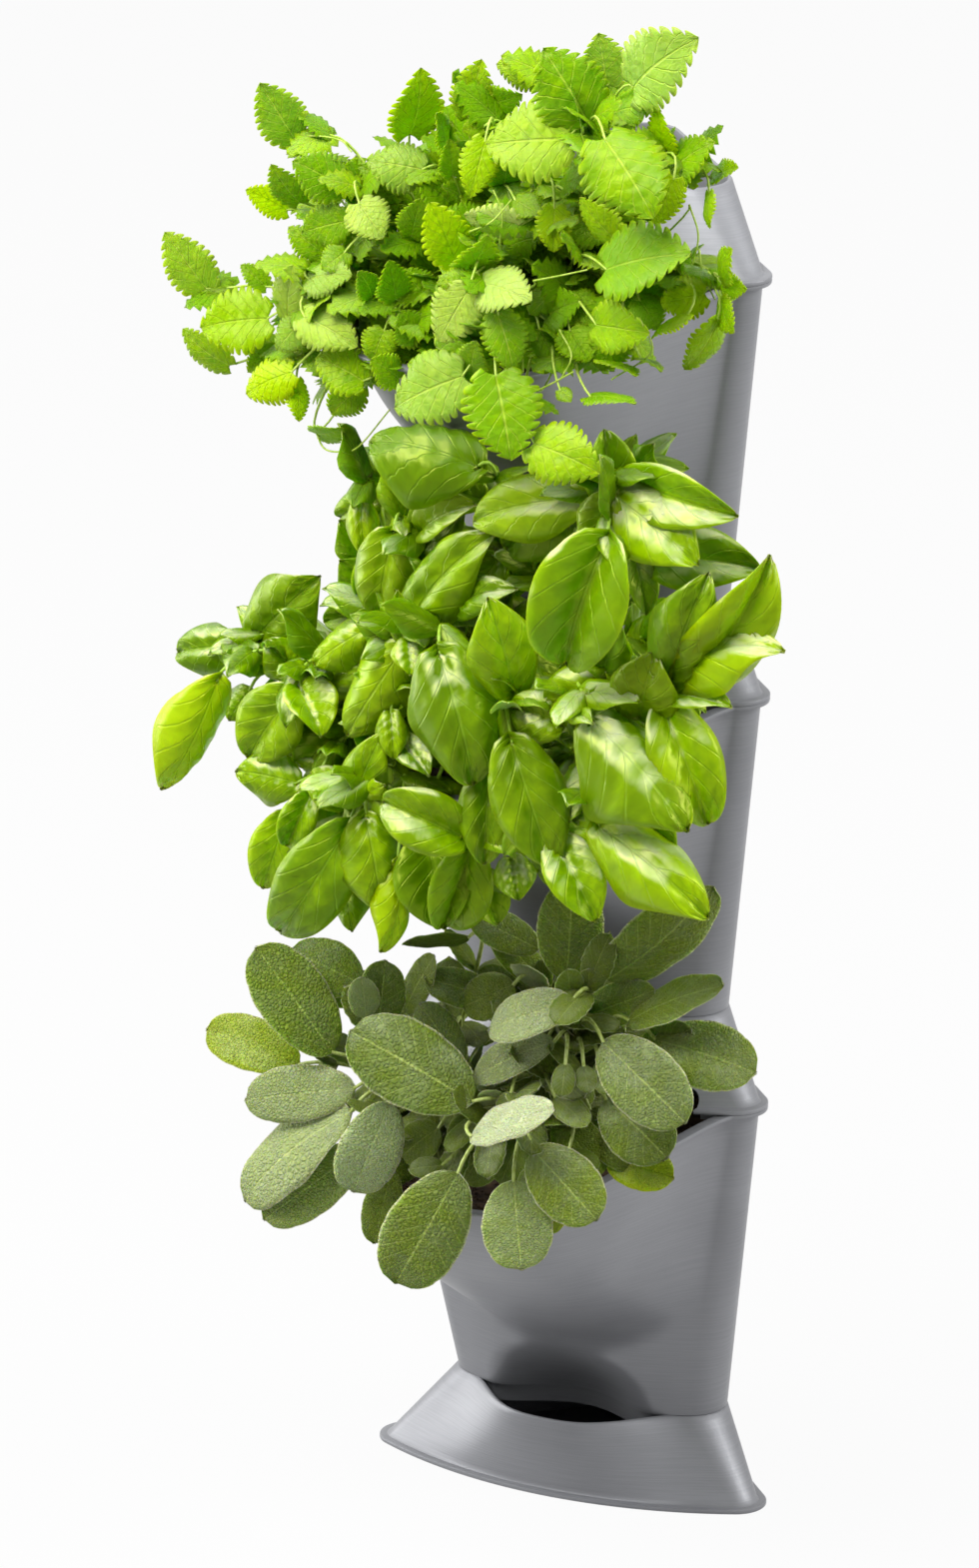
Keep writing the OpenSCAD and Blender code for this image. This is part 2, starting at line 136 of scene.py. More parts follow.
# A tree of nodes, of a material, of the world or of a shape
class Nodes:
    def __init__(self, tree):
        self.tree = tree

    # Any node: its settings first, then the values or links of its sockets
    def add(self, kind, settings=None, sockets=None, output=0):
        node = self.tree.nodes.new(kind)
        for name, value in (settings or {}).items():
            setattr(node, name, value)
        for name, value in (sockets or {}).items():
            self.feed(node.inputs[name], value)
        return Wire(self, node.outputs[output])

    def feed(self, socket, value):
        if isinstance(value, Wire):
            self.tree.links.new(value.socket, socket)
        else:
            socket.default_value = value

    # 1 for rays from the camera, also mirrored or through glass, and 0 for those that light the object
    def seenRays(self):
        kinds = ("Is Camera Ray", "Is Glossy Ray", "Is Transmission Ray")
        straight, mirrored, through = (self.add("ShaderNodeLightPath", output=kind) for kind in kinds)
        return straight.most(mirrored).most(through)


class Shader(Nodes):
    def __init__(self, name, **constants):
        self.material = bpy.data.materials.new(name)
        self.material.use_nodes = True
        super().__init__(self.material.node_tree)
        self.surface = self.tree.nodes["Principled BSDF"]
        for socket, value in constants.items():
            self.set(socket.replace("_", " "), value)

    def set(self, name, value):
        self.feed(self.surface.inputs[name], value)

    def mixColour(self, factor, a, b):
        return self.add("ShaderNodeMix", {"data_type": "RGBA"}, {0: factor, 6: a, 7: b}, 2)

    def place(self, scale=(1, 1, 1)):
        where = self.add("ShaderNodeTexCoord", output=3)
        return self.add("ShaderNodeMapping", None, {"Vector": where, "Scale": scale})

    def noise(self, where, scale, detail=3.0, rough=0.55):
        sockets = {"Vector": where, "Scale": scale, "Detail": detail, "Roughness": rough}
        return self.add("ShaderNodeTexNoise", None, sockets)

    def bump(self, height, distance, strength=1.0, **finer):
        sockets = {"Height": height, "Distance": distance, "Strength": strength, **finer}
        return self.add("ShaderNodeBump", None, sockets)


# Materials


# A colour as pictures give it, from 0 to 255, in the linear values that a shader takes
def srgb(*parts):
    shares = [part / 255 for part in parts]
    linear = [s / 12.92 if s < 0.04045 else ((s + 0.055) / 1.055) ** 2.4 for s in shares]
    return (*linear, 1)


greyLook = {
    "colour": srgb(138, 139, 143), "shade": srgb(126, 127, 131), "metal": 0.3, "coat": 0.05,
    "smooth": 0.36, "rough": 0.5, "streak": 0.00012, "grain": 0.00003,
    "streakScale": (30, 30, 1500), "cloudScale": 14.0, "grainScale": 2600.0, "clouds": 0.6, "streaks": 0.4,
}


def greyPlastic():
    shader = Shader("greyPlastic", Metallic=greyLook["metal"], Coat_Weight=greyLook["coat"])
    streaks = shader.noise(shader.place(greyLook["streakScale"]), 1.0, 4.0)
    clouds = shader.noise(shader.place(), greyLook["cloudScale"], 2.0)
    grain = shader.noise(shader.place(), greyLook["grainScale"], 1.0)
    shaded = greyLook["clouds"] * clouds.step(0.3, 0.75) + greyLook["streaks"] * streaks.step(0.35, 0.65)
    worn = greyLook["clouds"] * clouds + greyLook["streaks"] * streaks
    shader.set("Base Color", shader.mixColour(shaded, greyLook["colour"], greyLook["shade"]))
    shader.set("Roughness", greyLook["smooth"] + (greyLook["rough"] - greyLook["smooth"]) * worn)
    fine = shader.bump(grain, greyLook["grain"])
    shader.set("Normal", shader.bump(streaks, greyLook["streak"], 0.8, Normal=fine))
    return shader.material


darkLook = {
    "colour": srgb(58, 58, 60), "shade": srgb(44, 44, 46), "smooth": 0.5, "rougher": 0.2,
    "grainScale": 900.0, "grain": 0.00005,
}


def darkPlastic():
    shader = Shader("darkPlastic")
    grain = shader.noise(shader.place(), darkLook["grainScale"], 2.0)
    shader.set("Base Color", shader.mixColour(grain, darkLook["colour"], darkLook["shade"]))
    shader.set("Roughness", darkLook["smooth"] + darkLook["rougher"] * grain)
    shader.set("Normal", shader.bump(grain, darkLook["grain"]))
    return shader.material


earthLook = {
    "shade": srgb(44, 33, 25), "colour": srgb(84, 64, 46), "fibre": srgb(128, 104, 76), "gloss": 0.25,
    "smooth": 0.8, "rougher": 0.15, "lumpScale": 160.0, "lump": 0.0012,
    "fibreScale": (400, 90, 300), "fibreShare": 0.5,
}


def pottingSoil():
    shader = Shader("pottingSoil", Specular_IOR_Level=earthLook["gloss"])
    lumps = shader.noise(shader.place(), earthLook["lumpScale"], 5.0, 0.65)
    fibre = shader.noise(shader.place(earthLook["fibreScale"]), 1.0, 3.0)
    brown = shader.mixColour(lumps.step(0.35, 0.7), earthLook["shade"], earthLook["colour"])
    strands = earthLook["fibreShare"] * fibre.step(0.62, 0.75)
    shader.set("Base Color", shader.mixColour(strands, brown, earthLook["fibre"]))
    shader.set("Roughness", earthLook["smooth"] + earthLook["rougher"] * lumps)
    shader.set("Normal", shader.bump(lumps, earthLook["lump"]))
    return shader.material


# What each herb looks like: how its leaves are strewn and divided, the colours, their shares, the veins and
# relief, the finish, the leaf's form and the stems. Sizes in millimetres, depths of relief in metres.
# Of the colours, glow is painted light shining through a leaf and the sheen colour a painted highlight; deep
# also serves as painted shade, and bloom also as a pale painted sheen.
sageLook = {
    "herb": "sage", "slot": "sage", "level": "lower",
    "fillers": 2, "rows": 30, "columns": 11, "seed": 21,
    "leaf": srgb(130, 148, 34), "deep": srgb(84, 104, 2), "glow": srgb(166, 184, 30),
    "bloom": srgb(206, 216, 174), "vein": srgb(172, 188, 100), "edge": srgb(204, 212, 170),
    "paintedSheen": srgb(206, 216, 174), "stem": srgb(176, 190, 112), "tint": (1, 1, 0.35, 1),
    "cellShare": 0.6, "bloomShare": 0.16, "veinShare": 0.85, "edgeShare": 0.85, "sheenShare": 0.25,
    "veins": 9, "veinLean": 0.3, "veinWidth": 0.05, "veinDepth": 0.00042, "cells": 32.0,
    "cellDepth": 0.0011, "rough": 0.5, "gloss": 0.3, "widen": 1.0, "ratio": 0.5, "thick": 0.9,
    "cup": 0.1, "fold": 0.06, "bend": 0.55, "quilt": 0.25, "teeth": 34, "toothSize": 0.02,
    "stemRadius": 1.7, "petioleRadius": 1.05, "fillerSize": 1.5,
}
basilLook = {
    "herb": "basil", "slot": "basil", "level": "middle",
    "fillers": 4, "rows": 26, "columns": 11, "seed": 34,
    "leaf": srgb(142, 180, 0), "deep": srgb(84, 120, 0), "glow": srgb(176, 206, 0),
    "bloom": srgb(200, 216, 130), "vein": srgb(156, 194, 60), "edge": srgb(140, 180, 10),
    "paintedSheen": srgb(228, 238, 190), "stem": srgb(160, 196, 66), "tint": (0.95, 1, 0.15, 1),
    "cellShare": 0.1, "bloomShare": 0.0, "veinShare": 0.3, "edgeShare": 0.2, "sheenShare": 0.62,
    "veins": 5, "veinLean": 0.42, "veinWidth": 0.05, "veinDepth": 0.00042, "cells": 9.0,
    "cellDepth": 0.00006, "rough": 0.26, "gloss": 0.6, "widen": 1.2, "ratio": 0.56, "thick": 0.6,
    "cup": 0.7, "fold": 0.46, "bend": 1.1, "quilt": 1.5, "teeth": 12, "toothSize": 0.004,
    "stemRadius": 1.6, "petioleRadius": 0.95, "fillerSize": 1.45,
}
balmLook = {
    "herb": "balm", "slot": "lemon_balm", "level": "upper",
    "fillers": 3, "rows": 61, "columns": 9, "seed": 47,
    "leaf": srgb(144, 181, 0), "deep": srgb(98, 144, 0), "glow": srgb(160, 198, 0),
    "bloom": srgb(188, 212, 110), "vein": srgb(180, 208, 70), "edge": srgb(160, 200, 16),
    "paintedSheen": srgb(206, 220, 150), "stem": srgb(192, 212, 96), "tint": (0.95, 1, 0.15, 1),
    "cellShare": 0.22, "bloomShare": 0.05, "veinShare": 0.6, "edgeShare": 0.3, "sheenShare": 0.15,
    "veins": 6, "veinLean": 0.36, "veinWidth": 0.06, "veinDepth": 0.00056, "cells": 11.0,
    "cellDepth": 0.00015, "rough": 0.32, "gloss": 0.24, "widen": 1.0, "ratio": 0.76, "thick": 0.5,
    "cup": 0.16, "fold": 0.1, "bend": 0.7, "quilt": 0.8, "teeth": 10, "toothSize": 0.12,
    "stemRadius": 1.2, "petioleRadius": 0.65, "fillerSize": 1.15,
}
looks = (sageLook, basilLook, balmLook)

# What the three herbs' finishes have in common. A leaf top that faces the way given here, up and to the
# front, gets a pale painted highlight.
herbLook = {
    "scatter": 0.45, "scatterReach": (0.6, 1.0, 0.1), "scatterScale": 0.0035, "paintedHighlightWay": (0.1, -0.55, 0.83),
    # The tone's pale and dark shares: a pale painted sheen, and painted shade on leaves at the back
    "mottleScale": 5.0, "underShare": 0.45, "paintedPaleShare": 0.75, "paintedShadeShare": 0.75,
    "mottleRough": 0.16, "underRough": 0.12,
    "stemScatter": 0.15, "stemScatterReach": (0.6, 1.0, 0.3), "stemScatterScale": 0.002,
    "streakScale": (500, 500, 60), "streak": 0.0002, "stemSmooth": 0.45, "stemRougher": 0.2,
}


# 1 on a leaf's midrib and fainter on its side veins
def veinMask(look, side, along):
    midrib = 1 - side.step(0.012, look["veinWidth"])
    ladder = ((along - look["veinLean"] * side ** 0.8) * look["veins"]).part()
    lateral = (1 - abs(ladder - 0.5).step(0.0, 1.5 * look["veinWidth"])) * (1 - side.step(0.8, 1.0))
    return midrib.most(0.75 * lateral)


# A leaf's finish: across and along come from its own UV map, its tone, the light and shade painted on it,
# and its underside from its attributes
def leafMaterial(look):
    shader = Shader(look["herb"] + "Leaf", Specular_Tint=look["tint"], Specular_IOR_Level=look["gloss"],
                    Subsurface_Weight=herbLook["scatter"], Subsurface_Radius=herbLook["scatterReach"],
                    Subsurface_Scale=herbLook["scatterScale"])
    flat = shader.add("ShaderNodeUVMap", {"uv_map": "leafPlace"})
    across, along = (shader.add("ShaderNodeSeparateXYZ", None, {0: flat}, axis) for axis in (0, 1))
    tone, under, seed = (shader.add("ShaderNodeAttribute", {"attribute_name": name}, output=2)
                         for name in ("tone", "under", "seed"))
    side = abs(across * 2 - 1)
    veins = veinMask(look, side, along)
    spot = shader.add("ShaderNodeCombineXYZ", None, {0: across * look["ratio"], 1: along, 2: seed * 7})
    cells = shader.add("ShaderNodeTexVoronoi", {"feature": "DISTANCE_TO_EDGE"},
                       {"Vector": spot, "Scale": look["cells"]})
    mottle = shader.noise(spot, herbLook["mottleScale"], 3.0)
    normal = shader.add("ShaderNodeNewGeometry", output=1)
    ways = {0: normal, 1: herbLook["paintedHighlightWay"]}
    facing = shader.add("ShaderNodeVectorMath", {"operation": "DOT_PRODUCT"}, ways, 1)
    # Painted highlight: paler where the leaf faces up and to the front, mottled, and not on leaves in
    # painted shade
    paintedSheen = facing.step(0.82, 1.02) * (0.5 + 0.5 * mottle.step(0.35, 0.6)) * tone.step(0.0, 0.4)
    colour = shader.mixColour((0.9 * mottle + 0.35 * seed).step(0.3, 0.85), look["leaf"], look["deep"])
    # Each layer and its share: relief, edge and underside first, with painted shade in the grooves between
    # the cells, then the light and shade that the tone paints, then a painted highlight on tops that face up
    # and to the front
    for share, shade in (
            (look["cellShare"] * (1 - cells.step(0.0, 0.12)), "deep"),
            (look["bloomShare"] * (0.3 + 0.7 * mottle.step(0.35, 0.65)), "bloom"),
            (look["veinShare"] * veins, "vein"),
            (look["edgeShare"] * side.step(0.93, 1.0), "edge"),
            (herbLook["underShare"] * under, "bloom"),
            # The tone's painted light: light shining through, a pale painted sheen, then painted shade
            (tone.step(0.5, 1.0) * (1 - tone.step(1.0, 1.1)), "glow"),
            (herbLook["paintedPaleShare"] * tone.step(1.0, 2.0), "bloom"),
            (herbLook["paintedShadeShare"] * (1 - tone.step(0.0, 0.5)), "deep"),
            (look["sheenShare"] * paintedSheen, "paintedSheen")):
        colour = shader.mixColour(share, colour, look[shade])
    shader.set("Base Color", colour)
    rougher = look["rough"] + herbLook["mottleRough"] * mottle
    shader.set("Roughness", rougher + herbLook["underRough"] * under)
    pebbles = shader.bump(cells.step(0.0, 0.3), look["cellDepth"])
    shader.set("Normal", shader.bump(1 - veins, look["veinDepth"], Normal=pebbles))
    return shader.material


def stemMaterial(look):
    shader = Shader(look["herb"] + "Stem", Subsurface_Weight=herbLook["stemScatter"],
                    Subsurface_Radius=herbLook["stemScatterReach"],
                    Subsurface_Scale=herbLook["stemScatterScale"])
    streaks = shader.noise(shader.place(herbLook["streakScale"]), 1.0, 3.0)
    shader.set("Base Color", shader.mixColour(streaks.step(0.3, 0.75), look["stem"], look["leaf"]))
    shader.set("Roughness", herbLook["stemSmooth"] + herbLook["stemRougher"] * streaks)
    shader.set("Normal", shader.bump(streaks, herbLook["streak"]))
    return shader.material


materials = {"greyPlastic": greyPlastic(), "darkPlastic": darkPlastic(), "pottingSoil": pottingSoil()}
for look in looks:
    materials[look["herb"] + "Leaf"] = leafMaterial(look)
    materials[look["herb"] + "Stem"] = stemMaterial(look)
print("materials made")


# Meshes


# A new object from points in millimetres
def linkMesh(name, points, edges, faces):
    mesh = bpy.data.meshes.new(name)
    mesh.from_pydata((np.asarray(points) / 1000).tolist(), edges, faces)
    piece = bpy.data.objects.new(name, mesh)
    bpy.context.scene.collection.objects.link(piece)
    return piece


def addPiece(name, points, faces, material):
    piece = linkMesh(name, points, [], faces)
    piece.data.materials.append(materials[material])
    return piece


def smooth(piece, degrees):
    piece.data.polygons.foreach_set("use_smooth", [True] * len(piece.data.polygons))
    piece.data.set_sharp_from_angle(angle=math.radians(degrees))


# Turns the result of a piece's modifiers into its plain mesh
def bake(piece):
    graph = bpy.context.evaluated_depsgraph_get()
    evaluated = piece.evaluated_get(graph)
    made = bpy.data.meshes.new_from_object(evaluated, preserve_all_data_layers=True, depsgraph=graph)
    piece.modifiers.clear()
    piece.data = made


def cutWith(piece, cutter, operation):
    change = piece.modifiers.new(operation, "BOOLEAN")
    change.operation, change.object, change.solver = operation, cutter, "EXACT"
    bake(piece)
    bpy.data.objects.remove(cutter)


# Shells: the same sizes as the CAD's, in millimetres, with finer arcs and rounded edges

shell = {
    "pitch": 250.0, "skirtHeight": 46.0,
    "flangeLeg": 195.0, "flangeFront": 265.0, "flangeCorner": 18.0, "flangeBack": 26.0,
    "flangeOut": 5.0, "flangeThick": 2.6,
    "collarLeg": 150.0, "collarInset": 8.0, "collarFront": 167.0, "collarCorner": 22.0, "collarBack": 20.0,
    "collarOut": 26.0, "collarHalf": 70.0, "collarPower": 1.6,
    "pocketOut": 134.0, "pocketHalf": 112.0, "rimDip": 22.0, "pocketHeight": 90.0, "pocketSideRise": 23.0,
    "swellPower": 2.5, "bellyPower": 1.6, "creaseSoft": 0.09,
    "nicheDepth": 26.0, "nicheHeight": 42.0, "nicheHalf": 84.0, "nichePower": 1.9,
    "potWall": 2.4, "skirtWall": 2.2, "plugHeight": 12.0, "plugGap": 0.6,
    "ringHeight": 6.0, "ringWall": 2.0, "ringGap": 0.4,
    "slotHalf": 93.0, "slotHeight": 12.0, "slotCorner": 8.0, "slotFrom": -118.0, "slotLength": 230.0,
    "screwRadius": 2.6, "bossRadius": 7.0, "bossLength": 6.0, "screwAlong": 95.0, "screwDrop": 14.0,
    "drainRadius": 3.0, "drainRing": 26.0, "drainHoles": 6, "drainMiddle": (0.0, -90.0),
    "soilHeight": 215.0, "soilGap": 0.8, "gridThick": 2.0,
    "cornerSteps": 12, "backSteps": 12, "frontSteps": 150, "hub": (0.0, -95.0), "sharpFrom": 32,
}


def arcPoints(centre, radius, start, end, steps):
    turn = np.radians(np.linspace(start, end, steps + 1))
    return np.stack([centre[0] + radius * np.cos(turn), centre[1] + radius * np.sin(turn)], axis=1)


# A slice of a quarter circle from above: the right, back and left corners, then the bowed front
def slicePlan(leg, frontRadius, cornerRadius, backRadius, inset):
    reach = leg / math.sqrt(2)
    frontY = -reach + math.sqrt(frontRadius ** 2 - reach ** 2)
    # The corner's arc touches the straight back edge and, from inside, the bowed front
    shift = (cornerRadius + inset) / math.sqrt(2)
    rest = shift * shift + (shift + frontY) ** 2 - (frontRadius - cornerRadius) ** 2
    along = (-frontY + math.sqrt(frontY ** 2 - 2 * rest)) / 2
    corner = (along - shift, -along - shift)
    first = math.degrees(math.atan2(corner[1] - frontY, corner[0]))
    right = arcPoints(corner, cornerRadius, first, 45, shell["cornerSteps"])
    back = arcPoints((0, -(inset + backRadius) * math.sqrt(2)), backRadius, 45, 135, shell["backSteps"])
    left = right[::-1] * [-1, 1]
    bow = arcPoints((0, frontY), frontRadius, -180 - first, first, shell["frontSteps"])[1:-1]
    return np.concatenate([right, back, left, bow])


def inward(ring, distance):
    edge = np.roll(ring[:, :2], -1, axis=0) - np.roll(ring[:, :2], 1, axis=0)
    normal = np.stack([-edge[:, 1], edge[:, 0]], axis=1) / np.linalg.norm(edge, axis=1)[:, None]
    moved = ring.copy()
    moved[:, :2] += distance * normal
    return moved


def atHeight(ring, z):
    return np.column_stack([ring[:, :2], np.broadcast_to(z, len(ring))])


def planOf(part, inset):
    leg, front, corner, back = (shell[part + size] for size in ("Leg", "Front", "Corner", "Back"))
    return slicePlan(leg, front, corner, back, inset)


flangePlan = planOf("flange", 0)
rimPlan = inward(flangePlan, shell["flangeOut"])
footPlan = planOf("collar", shell["collarInset"])
isFront = np.arange(len(rimPlan)) >= 2 * (shell["cornerSteps"] + 1) + shell["backSteps"] + 1


# A soft swell of a plan's front: 1 in the middle, 0 from this half width on
def swellOf(plan, half, power):
    share = np.minimum(np.abs(plan[:, 0]) / half, 1)
    return np.where(isFront, np.cos(np.pi / 2 * share ** power) ** 2, 0)


collarSwell = shell["collarOut"] * swellOf(footPlan, shell["collarHalf"], shell["collarPower"])
collarPlan = footPlan - collarSwell[:, None] * [0, 1]
pocketShare = swellOf(rimPlan, shell["pocketHalf"], shell["swellPower"])
rimHeight = shell["pitch"] - shell["rimDip"] * pocketShare


def taperLevel(z):
    share = (z - shell["skirtHeight"]) / (shell["pitch"] - shell["skirtHeight"])
    return footPlan + (rimPlan - footPlan) * np.broadcast_to(share, len(rimPlan))[:, None]


# The pot's outer surface at these heights: its taper, the pocket's swell and the niche's dent
def wallLevel(z):
    z = np.broadcast_to(z, len(rimPlan))
    plain = taperLevel(z)
    rimShare = np.minimum(np.abs(rimPlan[:, 0]) / shell["pocketHalf"], 1)
    belly = shell["pocketHeight"] + shell["pocketSideRise"] * rimShare ** 2
    risen = (z - belly) / (rimHeight - belly)
    soft = shell["creaseSoft"]
    risen = np.where(np.abs(risen) < soft, (risen + soft) ** 2 / (4 * soft), np.clip(risen, 0, 1))
    out = shell["pocketOut"] * pocketShare * (1 - (1 - risen) ** shell["bellyPower"])
    across, up = rimPlan[:, 0] / shell["nicheHalf"], (z - shell["skirtHeight"]) / shell["nicheHeight"]
    away = across ** 2 + up ** 2
    dent = np.where(isFront, shell["nicheDepth"] * np.maximum(1 - away, 0) ** shell["nichePower"], 0)
    return np.stack([plain[:, 0], plain[:, 1] - out + dent], axis=1)


def wallRing(share, inset, drop=0.0):
    heights = shell["skirtHeight"] + (rimHeight - drop - shell["skirtHeight"]) * share
    return atHeight(inward(wallLevel(heights), inset), heights)


def loft(name, rings, closed=False, material="greyPlastic"):
    count, n = len(rings), len(rings[0])
    points = np.concatenate(rings)
    faces = []
    for k in range(count if closed else count - 1):
        a, b = k * n, (k + 1) % count * n
        faces += [[a + i, a + (i + 1) % n, b + (i + 1) % n, b + i] for i in range(n)]
    if not closed:
        hub = np.array([[*shell["hub"], rings[0][0][2]], [*shell["hub"], rings[-1][0][2]]])
        points = np.concatenate([points, hub])
        first, last = count * n, (count - 1) * n
        faces += [[first, (i + 1) % n, i] for i in range(n)]
        faces += [[first + 1, last + i, last + (i + 1) % n] for i in range(n)]
    return addPiece(name, points, faces, material)


# A block between two like rings, to cut or join with
def block(near, far):
    n = len(near)
    faces = [[i, (i + 1) % n, n + (i + 1) % n, n + i] for i in range(n)]
    faces += [list(range(n))[::-1], list(range(n, 2 * n))]
    return addPiece("block", [*near, *far], faces, "greyPlastic")


# A round bar from start to end
def bar(start, end, radius, sides=48):
    start, end = Vector(start), Vector(end)
    turn = (end - start).to_track_quat("Z", "Y").to_matrix()
    ring = [turn @ Vector((x, y, 0)) for x, y in arcPoints((0, 0), radius, 0, 360, sides)[:-1]]
    return block([start + p for p in ring], [end + p for p in ring])


# The pot's section, ring by ring: up from its plug, over the rim and down the inside
def potRings():
    wall, lip, thick = shell["potWall"], shell["flangeOut"], shell["flangeThick"]
    low = shell["skirtHeight"]
    plug = inward(wallLevel(low), shell["skirtWall"] + shell["plugGap"])
    plugIn = inward(plug, wall)
    plugZ = low - shell["plugHeight"]
    shares = np.concatenate([np.linspace(0, 0.2, 15), np.linspace(0.2, 0.985, 34)[1:]])
    rings = [atHeight(inward(plug, 0.8), plugZ), atHeight(plug, plugZ + 0.8), atHeight(plug, low)]
    rings += [wallRing(share, 0) for share in shares]
    # The flange's rounded edge: how far out from the wall each ring lies, and how far below the rim
    flangeEdge = ((0, thick + 0.8), (0.25, thick + 0.2), (0.8, thick), (lip - 0.6, thick),
                  (lip - 0.15, thick - 0.2), (lip, thick - 0.7), (lip, 0.7), (lip - 0.2, 0.2),
                  (lip - 0.7, 0), (0.7 - wall, 0), (0.2 - wall, 0.2), (-wall, 0.7))
    rings += [wallRing(1, -out, drop) for out, drop in flangeEdge]
    rings += [wallRing(share, wall) for share in shares[:5:-1]]
    rings.append(atHeight(inward(wallLevel(low + wall), wall), low + wall))
    return rings + [atHeight(plugIn, low + wall), atHeight(plugIn, plugZ + wall)]


# A place on a back wall: how far along it from the corner, and how far in from the room's wall
def onBackWall(side, along, inset, z):
    d = math.sqrt(0.5)
    return side * (along * d - inset * d), -along * d - inset * d, z


# A boss on each back wall, bored for a screw into the room's wall
def addScrewBosses(pot):
    along, length = shell["screwAlong"], shell["bossLength"]
    z = shell["pitch"] - shell["screwDrop"]
    share = (z - shell["skirtHeight"]) / (shell["pitch"] - shell["skirtHeight"])
    inset = shell["collarInset"] + (shell["flangeOut"] - shell["collarInset"]) * share
    for side in (-1, 1):
        for start, end, radius, operation in ((1.2, length, shell["bossRadius"], "UNION"),
                                              (-5, length + 1, shell["screwRadius"], "DIFFERENCE")):
            near, far = onBackWall(side, along, inset + start, z), onBackWall(side, along, inset + end, z)
            cutWith(pot, bar(near, far, radius), operation)


def addDrainHoles(pot):
    low = shell["skirtHeight"] - shell["plugHeight"]
    for x, y in arcPoints(shell["drainMiddle"], shell["drainRing"], 0, 360, shell["drainHoles"])[:-1]:
        hole = bar((x, y, low - 1), (x, y, low + shell["potWall"] + 1), shell["drainRadius"], 32)
        cutWith(pot, hole, "DIFFERENCE")


def makePot():
    pot = loft("pot", potRings())
    addScrewBosses(pot)
    addDrainHoles(pot)
    smooth(pot, shell["sharpFrom"])
    return pot


# Rings of a skirt that leans from the flange to the collar, rounded along its edges
def skirtRings(inner):
    thick, top, wall = shell["flangeThick"], shell["skirtHeight"], shell["skirtWall"]
    # The rounded edges: how far in from the plan each ring lies, and how high
    flangeEdge = ((0.5, 0), (0.12, 0.12), (0, 0.5), (0, thick - 0.8), (0.2, thick - 0.25), (0.8, thick))
    collarEdge = ((0.25, top - 0.3), (0.9, top), (wall - 0.6, top), (wall - 0.15, top - 0.2),
                  (wall, top - 0.7))
    rings = [atHeight(inward(flangePlan, inset), z) for inset, z in flangeEdge]
    for share in np.concatenate([[0.0, 0.012, 0.03], np.linspace(0.08, 0.978, 16)]):
        rim = inward(flangePlan, shell["flangeOut"] - 0.7 * max(0, 1 - share / 0.03))
        rings.append(atHeight(rim + (collarPlan - rim) * share, thick + (top - thick) * share))
    rings += [atHeight(inward(collarPlan, inset), z) for inset, z in collarEdge]
    for share in np.linspace(0.9, 0.1, 9):
        plan = inner + (inward(collarPlan, wall) - inner) * share
        rings.append(atHeight(plan, thick + (top - thick) * share))
    return rings + [atHeight(inner, thick)]


def makeFoot():
    foot = loft("foot", skirtRings(inward(rimPlan, shell["skirtWall"])))
    smooth(foot, shell["sharpFrom"])
    return foot


# The block that leaves the cover's front opening, with its upper corners rounded
def slotBlock():
    half, corner, top = shell["slotHalf"], shell["slotCorner"], shell["slotHeight"]
    low = -shell["ringHeight"] - 1
    edge = [(-half, low), (half, low)]
    for centre, start in ((half - corner, 0), (corner - half, 90)):
        edge += arcPoints((centre, top - corner), corner, start, start + 90, 8).tolist()
    ends = (shell["slotFrom"], shell["slotFrom"] - shell["slotLength"])
    slot = block(*([(x, y, z) for x, z in edge] for y in ends))
    slot.data.validate()
    return slot


def makeCover():
    gap = shell["potWall"] + shell["ringGap"]
    low = -shell["ringHeight"]
    ringFoot = taperLevel(shell["pitch"] + low)
    rings = skirtRings(inward(rimPlan, gap + shell["ringWall"]))
    rings += [atHeight(inward(ringFoot, gap + shell["ringWall"]), low), atHeight(inward(ringFoot, gap), low),
              atHeight(inward(rimPlan, gap), 0)]
    cover = loft("cover", rings, closed=True)
    cutWith(cover, slotBlock(), "DIFFERENCE")
    smooth(cover, shell["sharpFrom"])
    return cover


# A copy of a piece, raised to its level, that stands for a CAD node
def stack(piece, name, lift, body):
    copy = bpy.data.objects.new(name, piece.data.copy())
    bpy.context.scene.collection.objects.link(copy)
    copy.data.transform(Matrix.Translation((0, 0, lift / 1000)))
    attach(copy, body)
    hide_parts(body)


foot = makeFoot()
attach(foot, "foot")
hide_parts("foot")
foot.name = "footShell"
pot, cover = makePot(), makeCover()
for k, level in enumerate(levels):
    stack(pot, "potShell_" + level, k * shell["pitch"], "pot_" + level)
    stack(cover, "coverShell_" + level, (k + 1) * shell["pitch"], "cover_" + level)
bpy.data.objects.remove(pot)
bpy.data.objects.remove(cover)


def finishNode(node, material):
    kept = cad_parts[node]
    kept.data.materials.clear()
    kept.data.materials.append(materials[material])


finishNode("drip_tray", "greyPlastic")
for level in levels:
    finishNode("drain_grid_" + level, "darkPlastic")
print("pots, covers and foot made")


# Geometry Nodes trees


